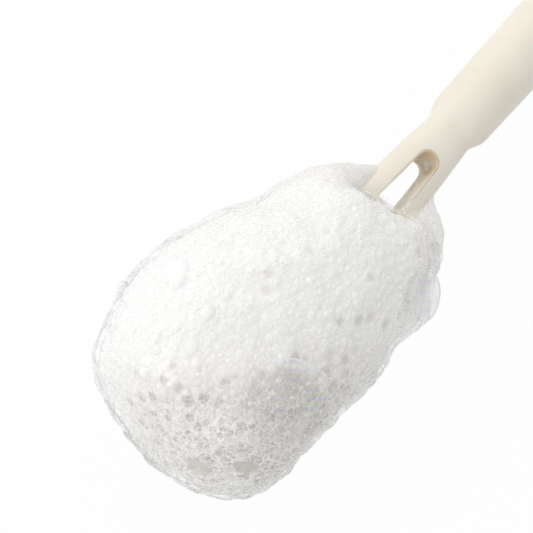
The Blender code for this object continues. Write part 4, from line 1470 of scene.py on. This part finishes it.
def make_lens(core_tree):
    """The large flat bubble: a low dome of film that lies on the lather and follows its curve."""
    _, (x, y, depth), length, width, turn = named_bubble("lens")
    middle = laid(np.array([[x, y, -depth]]) * MM)[0]
    along, aside = np.array(camera_way(turn)), np.array(camera_way(turn + 90.0))
    view = Vector(np.cross(CAMERA_RIGHT, CAMERA_DOWN)).normalized()
    rise = 1.2 * MM
    select_none()
    bpy.ops.mesh.primitive_uv_sphere_add(segments=72, ring_count=36, radius=1.0)
    lens = bpy.context.object
    lens.name = lens.data.name = "lens_bubble"
    ball = coordinates(lens.data)
    ball *= 1.0 + rolling(ball, 3, 8, 1.8, 3.4, 0.055)[:, None]
    points = np.empty_like(ball)
    for n, (a, b, c) in enumerate(ball):
        over = Vector(middle + along * a * length * MM + aside * b * width * MM)
        hit, normal, _, _ = core_tree.ray_cast(over - view * 0.05, view)
        if hit is None or (hit - over).length > 14.0 * MM:
            hit, normal, _, _ = core_tree.find_nearest(over)
        points[n] = np.array(hit) + np.array(normal) * (rise * c if c > 0.0 else 0.4 * MM * c)
    soft = points.copy()
    mesh = lens.data
    ends = np.empty(len(mesh.edges) * 2, dtype=int)
    mesh.edges.foreach_get("vertices", ends)
    ends = ends.reshape(-1, 2)
    for _ in range(6):
        total, uses = np.zeros_like(soft), np.zeros(len(soft))
        for one, two in ((0, 1), (1, 0)):
            np.add.at(total, ends[:, one], soft[ends[:, two]])
            np.add.at(uses, ends[:, one], 1.0)
        soft = blend(soft, total / uses[:, None], 0.6)
    set_coordinates(mesh, soft)
    set_attribute(mesh, "bands", soft @ np.array(camera_way(90.0)) / MM)
    share = lens_share(soft - middle)
    # painted highlight: the pale outline round the film's edge, strongest at its upper right
    set_attribute(mesh, "border", (1.0 - eased(np.abs(ball[:, 2]), 0.06, 0.30)) * share)
    set_attribute(mesh, "share", share)
    select_only(lens)
    bpy.ops.object.mode_set(mode="EDIT")
    bpy.ops.mesh.select_all(action="SELECT")
    bpy.ops.mesh.normals_make_consistent(inside=False)
    bpy.ops.object.mode_set(mode="OBJECT")
    bpy.ops.object.shade_smooth()
    return lens


# The padded head under the lather


def gathered(depth):
    """A depth on the padded head, a little lower near the mouth, where the net draws it together."""
    return depth + 2.4 * MM * (1.0 - eased(depth, HEAD_TOP, HEAD_TOP + 14.0 * MM))


def head_share(depth, grow):
    """How wide the padded barrel is at a depth, as a share of its widest section."""
    half = 0.5 * HEAD_LENGTH + grow
    along = np.minimum(1.0, np.abs(depth - HEAD_TOP - 0.5 * HEAD_LENGTH) / half)
    return (1.0 - along**HEAD_PROFILE) ** (1.0 / HEAD_PROFILE)


def head_depths(grow, mouth_share, count):
    """Depths of the barrel's rings, from the mouth to the tip, close together where the ends round over."""
    middle = HEAD_TOP + 0.5 * HEAD_LENGTH
    half = 0.5 * HEAD_LENGTH + grow
    top = middle - half * (1.0 - mouth_share**HEAD_PROFILE) ** (1.0 / HEAD_PROFILE)
    bottom = middle + half * (1.0 - 0.12**HEAD_PROFILE) ** (1.0 / HEAD_PROFILE)
    return 0.5 * (top + bottom) - 0.5 * (bottom - top) * np.cos(math.pi * np.arange(count + 1) / count)


def mouth_share(grow, sizes):
    return (float(fork_width(HEAD_TOP, sizes)) + SEAT_GAP + NET_EDGE) / (HEAD_HALF_WIDTH + grow)


def make_spine_room(sizes):
    """The room that the pads leave for the fork: the fork a little grown, but for its own windows."""
    grow = SEAT_GAP + 0.05 * MM
    rows = [row for row in handle_rows(sizes) if row[0] <= -WINDOWS[0][0] * MM]
    rings = [(z - grow if z < -SPINE_LENGTH + SPINE_END_ROUND else z, width + grow, depth + grow, section)
             for z, width, depth, section in rows[:-1]]
    rings = [(rings[0][0], 0.0, 0.0, rings[0][3]), *rings, (rings[-1][0], 0.0, 0.0, rings[-1][3])]
    room = rolled("spine_room", 72, len(rings) - 1, from_rows(np.array(rings), oval_ring))
    return cut(room, *[window_cutter(f"filling_{n}", top * MM, bottom * MM, sizes, SEAT_GAP)
                       for n, (top, bottom) in enumerate(WINDOWS, start=1)])


def make_pad(name, side, sizes):
    """One sponge pad: a full half barrel, squeezed in a little under the net's mouth and its seam."""
    squeeze = 0.5 * MM
    depths = head_depths(-squeeze, 0.12, 110)
    rows = np.array([(depths[0], 0.0), *[(d, float(head_share(d, -squeeze))) for d in depths], (depths[-1], 0.0)])

    def to_points(angle, row):
        depth, share = row.T
        x = (HEAD_HALF_DEPTH - squeeze) * share * powered(np.cos(angle), 2.0 / HEAD_SECTION)
        y = (HEAD_HALF_WIDTH - squeeze) * share * powered(np.sin(angle), 2.0 / HEAD_SECTION)
        pinch = 0.7 * MM * np.exp(-((x / (2.2 * MM)) ** 2)) * np.minimum(1.0, np.abs(y) / (4.0 * MM))
        return np.stack([x, y - np.sign(y) * pinch, -gathered(depth)], axis=1)

    pad = rolled(f"{name}_pad", 140, len(rows) - 1, from_rows(rows, to_points))
    dents = rolling(coordinates(pad.data), 31, 40, 2.5 * MM, 9.0 * MM, 0.10 * MM)
    push(pad, -np.abs(dents))
    across = Vector(LAID[:3, 0])
    select_only(pad)
    bpy.ops.object.mode_set(mode="EDIT")
    bpy.ops.mesh.select_all(action="SELECT")
    edge = laid(np.array([[-side * 0.5 * SEAT_GAP, 0.0, 0.0]]))[0]
    bpy.ops.mesh.bisect(plane_co=edge, plane_no=across * side, use_fill=True, clear_outer=True)
    bpy.ops.object.mode_set(mode="OBJECT")
    cut(pad, make_spine_room(sizes))
    smooth_by_angle(pad, 50.0)
    return pad


def make_sleeve_panel(name, side, sizes):
    """One sewn half of the knitted net, stretched over its pad from the mouth on the fork to the tip."""
    grow = SEAT_GAP
    depths = head_depths(grow, mouth_share(grow, sizes), 120)
    select_none()
    bpy.ops.mesh.primitive_grid_add(x_subdivisions=96, y_subdivisions=120, size=1.0, calc_uvs=True)
    panel = bpy.context.object
    panel.name = panel.data.name = f"{name}_panel"
    flat = coordinates(panel.data)
    depth = np.interp(flat[:, 1] + 0.5, np.linspace(0.0, 1.0, len(depths)), depths)
    angle = math.pi * (flat[:, 0] + 0.5)
    share = head_share(depth, grow)
    x = (HEAD_HALF_DEPTH + grow) * share * powered(np.sin(angle), 2.0 / HEAD_SECTION)
    y = (HEAD_HALF_WIDTH + grow) * share * powered(np.cos(angle), 2.0 / HEAD_SECTION)
    set_coordinates(panel.data, laid(np.stack([-side * np.maximum(x, NET_EDGE), y, -gathered(depth)], axis=1)))
    middle = Vector(laid(np.array([[0.0, 0.0, -(HEAD_TOP + 0.5 * HEAD_LENGTH)]]))[0])
    outward = sum((p.center - middle).dot(p.normal) for p in panel.data.polygons)
    if outward < 0.0:
        panel.data.flip_normals()
    select_only(panel)
    bpy.ops.object.shade_smooth()
    cloth = panel.modifiers.new("Cloth", "SOLIDIFY")
    cloth.thickness = NET_THICKNESS
    cloth.offset = 1.0
    bpy.ops.object.modifier_apply(modifier=cloth.name)
    return panel


def seam_path(sizes):
    """The line down one side of the barrel, round its tip and up the other, with its lengths so far."""
    grow = SEAT_GAP + SEAM_OUT
    depths = head_depths(grow, mouth_share(grow, sizes), 90)
    side = [((HEAD_HALF_WIDTH + grow) * float(head_share(d, grow)), -float(gathered(d))) for d in depths]
    line = np.array(side + [(0.0, -(HEAD_TOP + HEAD_LENGTH + grow))] + [(-y, z) for y, z in reversed(side)])
    lengths = np.concatenate([[0.0], np.cumsum(np.linalg.norm(np.diff(line, axis=0), axis=1))])
    return line, lengths


def along_seam(line, lengths, share):
    """Place, way ahead and way out of the seam at shares of its length, on the brush's own axes."""
    at = share * lengths[-1]
    step = 0.3 * MM
    here = np.stack([np.interp(at, lengths, line[:, k]) for k in (0, 1)], axis=1)
    ahead = np.stack([np.interp(at + step, lengths, line[:, k]) - np.interp(at - step, lengths, line[:, k])
                      for k in (0, 1)], axis=1)
    ahead /= np.linalg.norm(ahead, axis=1)[:, None]
    zero = np.zeros(len(share))
    return (np.stack([zero, here[:, 0], here[:, 1]], axis=1), np.stack([zero, ahead[:, 0], ahead[:, 1]], axis=1),
            np.stack([zero, ahead[:, 1], -ahead[:, 0]], axis=1))


def make_edge_seam(sizes, head):
    """The overlocked seam: a folded edge of cloth with one thread that is wound round it all the way."""
    line, lengths = seam_path(sizes)
    over = np.array([[1.0, 0.0, 0.0]])

    def cord(u, v):
        here, _, out = along_seam(line, lengths, v)
        end = np.sqrt(np.clip(np.minimum(v, 1.0 - v) / 0.004, 0.0, 1.0))[:, None]
        angle = (2.0 * math.pi * u)[:, None]
        return laid(here + (out * np.cos(angle) + over * np.sin(angle)) * SEAM_EDGE_RADIUS * end)

    turns = round(lengths[-1] / head.stitch)

    def thread(u, v):
        here, ahead, out = along_seam(line, lengths, 0.004 + 0.992 * v)
        turn, angle = (2.0 * math.pi * turns * v)[:, None], (2.0 * math.pi * u)[:, None]
        radial = out * np.cos(turn) + over * np.sin(turn)
        end = np.clip(np.minimum(v, 1.0 - v) / 0.0006, 0.0, 1.0)[:, None]
        thick = head.thread * end
        return laid(here + radial * (SEAM_THREAD_OUT + thick * np.cos(angle)) + ahead * thick * np.sin(angle))

    pieces = []
    for name, sides, rows, place, twists in (("seam_edge", 18, 420, cord, 300.0),
                                             ("seam_stitches", 6, turns * 14, thread, turns * 9.0)):
        piece = rolled(name, sides, rows, place)
        points = coordinates(piece.data)
        local = unlaid(points)
        set_attribute(piece.data, "twist", local[:, 2] / (88.0 * MM) * 0.5 * twists)
        pieces.append(piece)
    return pieces


# Studio


def add_camera(scene, lens):
    right, down = Vector(CAMERA_RIGHT).normalized(), Vector(CAMERA_DOWN).normalized()
    view = right.cross(down).normalized()
    camera = bpy.data.objects.new("camera", bpy.data.cameras.new("camera"))
    scene.collection.objects.link(camera)
    camera.matrix_world = Matrix.Translation(CAMERA_AT) @ Matrix((right, -down, -view)).transposed().to_4x4()
    camera.data.lens = lens
    camera.data.sensor_width = 36.0
    camera.data.clip_start = 0.01
    camera.data.clip_end = 10.0
    scene.camera = camera


def add_lamp(scene, name, power, size, toward):
    toward = Vector(toward).normalized()
    lamp = bpy.data.objects.new(name, bpy.data.lights.new(name, "AREA"))
    lamp.data.shape = "DISK"
    lamp.data.size = size
    lamp.data.energy = power
    lamp.location = toward * LAMP_DISTANCE
    lamp.rotation_euler = (-toward).to_track_quat("-Z", "Y").to_euler()
    scene.collection.objects.link(lamp)


def studio_world(sky):
    """Even light all round, and plain white where the camera, a reflection or a clear piece shows it."""
    world = bpy.data.worlds.new("studio")
    nodes = Nodes(world)
    white = (1.0, 1.0, 1.0, 1.0)
    ray = nodes.add("ShaderNodeLightPath")
    either = ray["Is Camera Ray"].maths("MAXIMUM", ray["Is Camera Ray"], ray["Is Glossy Ray"])
    through = either.maths("MAXIMUM", either, ray["Is Transmission Ray"])
    lit = nodes.add("ShaderNodeBackground", None, {"Color": white, "Strength": sky})["Background"]
    seen = nodes.add("ShaderNodeBackground", None, {"Color": white})["Background"]
    nodes.add("ShaderNodeOutputWorld", None, {"Surface": nodes.between_shaders(through, lit, seen)})
    return world


def add_floor(colour):
    select_none()
    bpy.ops.mesh.primitive_grid_add(x_subdivisions=2, y_subdivisions=2, size=FLOOR_SIZE)
    floor = bpy.context.object
    floor.name = "floor"
    paint = Paint("floor", tuple(colour))
    ray = paint.add("ShaderNodeLightPath")
    pale = paint.add("ShaderNodeBsdfDiffuse", None, {"Color": (*colour, 1.0)})["BSDF"]
    glow = paint.add("ShaderNodeEmission", None, {"Color": (1.0, 1.0, 1.0, 1.0), "Strength": 1.0})["Emission"]
    seen_white = (ray["Is Camera Ray"] + ray["Is Glossy Ray"] + ray["Is Transmission Ray"]) * 0.96
    floor.data.materials.append(paint.finish(paint.between_shaders(seen_white, pale, glow)))


# Operators


class CUPBRUSH_OT_handle(bpy.types.Operator):
    """Moulds the handle: grip, shoulder, neck and forked spine in one piece"""

    bl_idname = "cupbrush.handle"
    bl_label = "Handle"

    def execute(self, context):
        sizes = context.scene.cup_brush_handle
        settle(make_handle(sizes), ivory_plastic(sizes.ivory), ("handle",))
        return {"FINISHED"}


class CUPBRUSH_OT_hang_cap(bpy.types.Operator):
    """Moulds the hanging cap that closes the rear of the grip"""

    bl_idname = "cupbrush.hang_cap"
    bl_label = "Hanging Cap"

    def execute(self, context):
        sizes = context.scene.cup_brush_handle
        material = bpy.data.materials.get("ivory_plastic") or ivory_plastic(sizes.ivory)
        settle(make_hang_cap(), material, ("hang_cap",))
        return {"FINISHED"}


class CUPBRUSH_OT_pads(bpy.types.Operator):
    """Shapes the two sponge pads round the fork"""

    bl_idname = "cupbrush.pads"
    bl_label = "Sponge Pads"

    def execute(self, context):
        foam = sponge_foam(context.scene.cup_brush_head.sponge)
        for name, side in (("sponge_front", 1.0), ("sponge_back", -1.0)):
            pad = settle(make_pad(name, side, context.scene.cup_brush_handle), foam, (name,))
        return {"FINISHED"}


class CUPBRUSH_OT_sleeve(bpy.types.Operator):
    """Stretches the knitted net over the pads and sews its edges together"""

    bl_idname = "cupbrush.sleeve"
    bl_label = "Net Sleeve"

    def execute(self, context):
        sizes = context.scene.cup_brush_handle
        head = context.scene.cup_brush_head
        thread = seam_thread(head.thread_colour)
        seam = make_edge_seam(sizes, head)
        settle(seam[0], thread, ("edge_seam",))
        settle(seam[1], thread, ())
        net = net_cloth(head.net, head.wales, head.courses)
        for name, side, pad in (("sleeve_front", 1.0, "sponge_front_pad"),
                                ("sleeve_back", -1.0, "sponge_back_pad")):
            panel = make_sleeve_panel(name, side, sizes)
            settle(panel, net, (name,))
        return {"FINISHED"}


class CUPBRUSH_OT_lather(bpy.types.Operator):
    """Builds the lather: its white core, its packed small bubbles and its skin of clear ones"""

    bl_idname = "cupbrush.lather"
    bl_label = "Soap Lather"

    def execute(self, context):
        sizes = context.scene.cup_brush_lather
        handle = context.scene.cup_brush_handle
        core, places, spans = make_lather_core(sizes)
        settle(core, soap_lather("soap_lather", sizes.white, sizes.shaded, sizes.deep), ("lather",))
        beads = lather_grain("lather_beads", sizes.bead, 0.62, 0.22)
        for piece in make_grains(core, sizes, places, spans):
            settle(piece, beads, (), clear=True)
        film = bubble_film("bubble_film", 0.15, 0.02, (0.97, 0.97, 0.965), sharp=3.0)
        for piece in make_clear_bubbles(core, sizes, places, spans) + make_slot_bubbles():
            settle(piece, film, (), clear=True)
        for name, side, stations, seed, body in (("right_lobe", -1.0, RIGHT_LOBE, 81, 0.34),
                                                 ("left_lobe", 1.0, LEFT_LOBE, 83, 0.66)):
            wet = wet_lather(f"wet_lather_{name}", sizes.white, sizes.shaded, body)
            settle(make_lobe(name, side, stations, handle, seed), wet, (), clear=True)
        # the slot lining's tan is painted shade
        settle(make_slot_lining(handle), slot_film_shade("slot_film_shade", sizes.slot_shade_tan, handle.ivory), ())
        skin = bubble_film("skin_film", 0.05, 0.0, (0.97, 0.97, 0.97), sharp=5.0, threads=0.5)
        settle(make_lather_skin(), skin, (), clear=True)
        films = {
            # lens_film's warm tinge is painted shade, of the lather's hollow seen through the film
            "lens": bubble_film("lens_film", 0.18, 0.21, (0.88, 0.845, 0.80), 1.0, sharp=3.4, outline=0.62),
            "iridescent": bubble_film("iridescent_film", 0.10, 0.36, (0.965, 0.965, 0.965), 0.5),
            "bright": bubble_film("bright_film", 0.30, 0.0, (0.95, 0.955, 0.96)),
            # rim_film's grey-blue tinge paints the grey reflection at the clear bubbles' edges
            "clear": bubble_film("rim_film", 0.42, 0.05, (0.80, 0.83, 0.87)),
        }
        tree = surface_tree(core)
        settle(make_lens(tree), films["lens"], (), clear=True)
        for number, (kind, *rest) in enumerate(NAMED_BUBBLES, start=1):
            if kind in films and kind != "lens":
                bubble = make_named_bubble(number, tree, kind, *rest)
                settle(bubble, films[kind], (), clear=True)
        return {"FINISHED"}


class CUPBRUSH_OT_studio(bpy.types.Operator):
    """Sets the camera, the soft lamps, the even light and the pale floor"""

    bl_idname = "cupbrush.studio"
    bl_label = "Studio"

    def execute(self, context):
        sizes = context.scene.cup_brush_studio
        context.scene.view_settings.view_transform = "Standard"
        add_camera(context.scene, sizes.lens)
        add_lamp(context.scene, "key", sizes.key, 0.5, (-0.685, 0.588, 0.43))
        add_lamp(context.scene, "rear", sizes.rear, 0.9, (0.545, 0.725, 0.421))
        context.scene.world = studio_world(sizes.sky)
        add_floor(sizes.floor)
        return {"FINISHED"}


class CUPBRUSH_PT_panel(bpy.types.Panel):
    """Lists the steps that finish the cup brush"""

    bl_idname = "CUPBRUSH_PT_panel"
    bl_label = "Cup Brush"
    bl_space_type = "VIEW_3D"
    bl_region_type = "UI"
    bl_category = "Cup Brush"

    def draw(self, context):
        for group in ("cup_brush_handle", "cup_brush_head", "cup_brush_lather", "cup_brush_studio"):
            box = self.layout.box()
            settings = getattr(context.scene, group)
            for name in settings.bl_rna.properties.keys():
                if name not in ("rna_type", "name"):
                    box.prop(settings, name)
        for operator in OPERATORS:
            self.layout.operator(operator.bl_idname)


OPERATORS = (CUPBRUSH_OT_handle, CUPBRUSH_OT_hang_cap, CUPBRUSH_OT_pads, CUPBRUSH_OT_sleeve, CUPBRUSH_OT_lather,
             CUPBRUSH_OT_studio)
CLASSES = (HandleFinish, LatherFinish, HeadFinish, StudioFinish, *OPERATORS, CUPBRUSH_PT_panel)


def register():
    for item in CLASSES:
        bpy.utils.register_class(item)
    bpy.types.Scene.cup_brush_handle = bpy.props.PointerProperty(type=HandleFinish)
    bpy.types.Scene.cup_brush_lather = bpy.props.PointerProperty(type=LatherFinish)
    bpy.types.Scene.cup_brush_head = bpy.props.PointerProperty(type=HeadFinish)
    bpy.types.Scene.cup_brush_studio = bpy.props.PointerProperty(type=StudioFinish)


def unregister():
    del bpy.types.Scene.cup_brush_studio
    del bpy.types.Scene.cup_brush_head
    del bpy.types.Scene.cup_brush_lather
    del bpy.types.Scene.cup_brush_handle
    for item in reversed(CLASSES):
        bpy.utils.unregister_class(item)


def main():
    register()
    bpy.ops.cupbrush.handle()
    bpy.ops.cupbrush.hang_cap()
    bpy.ops.cupbrush.pads()
    bpy.ops.cupbrush.sleeve()
    bpy.ops.cupbrush.lather()
    bpy.ops.cupbrush.studio()


if __name__ == "__main__":
    main()
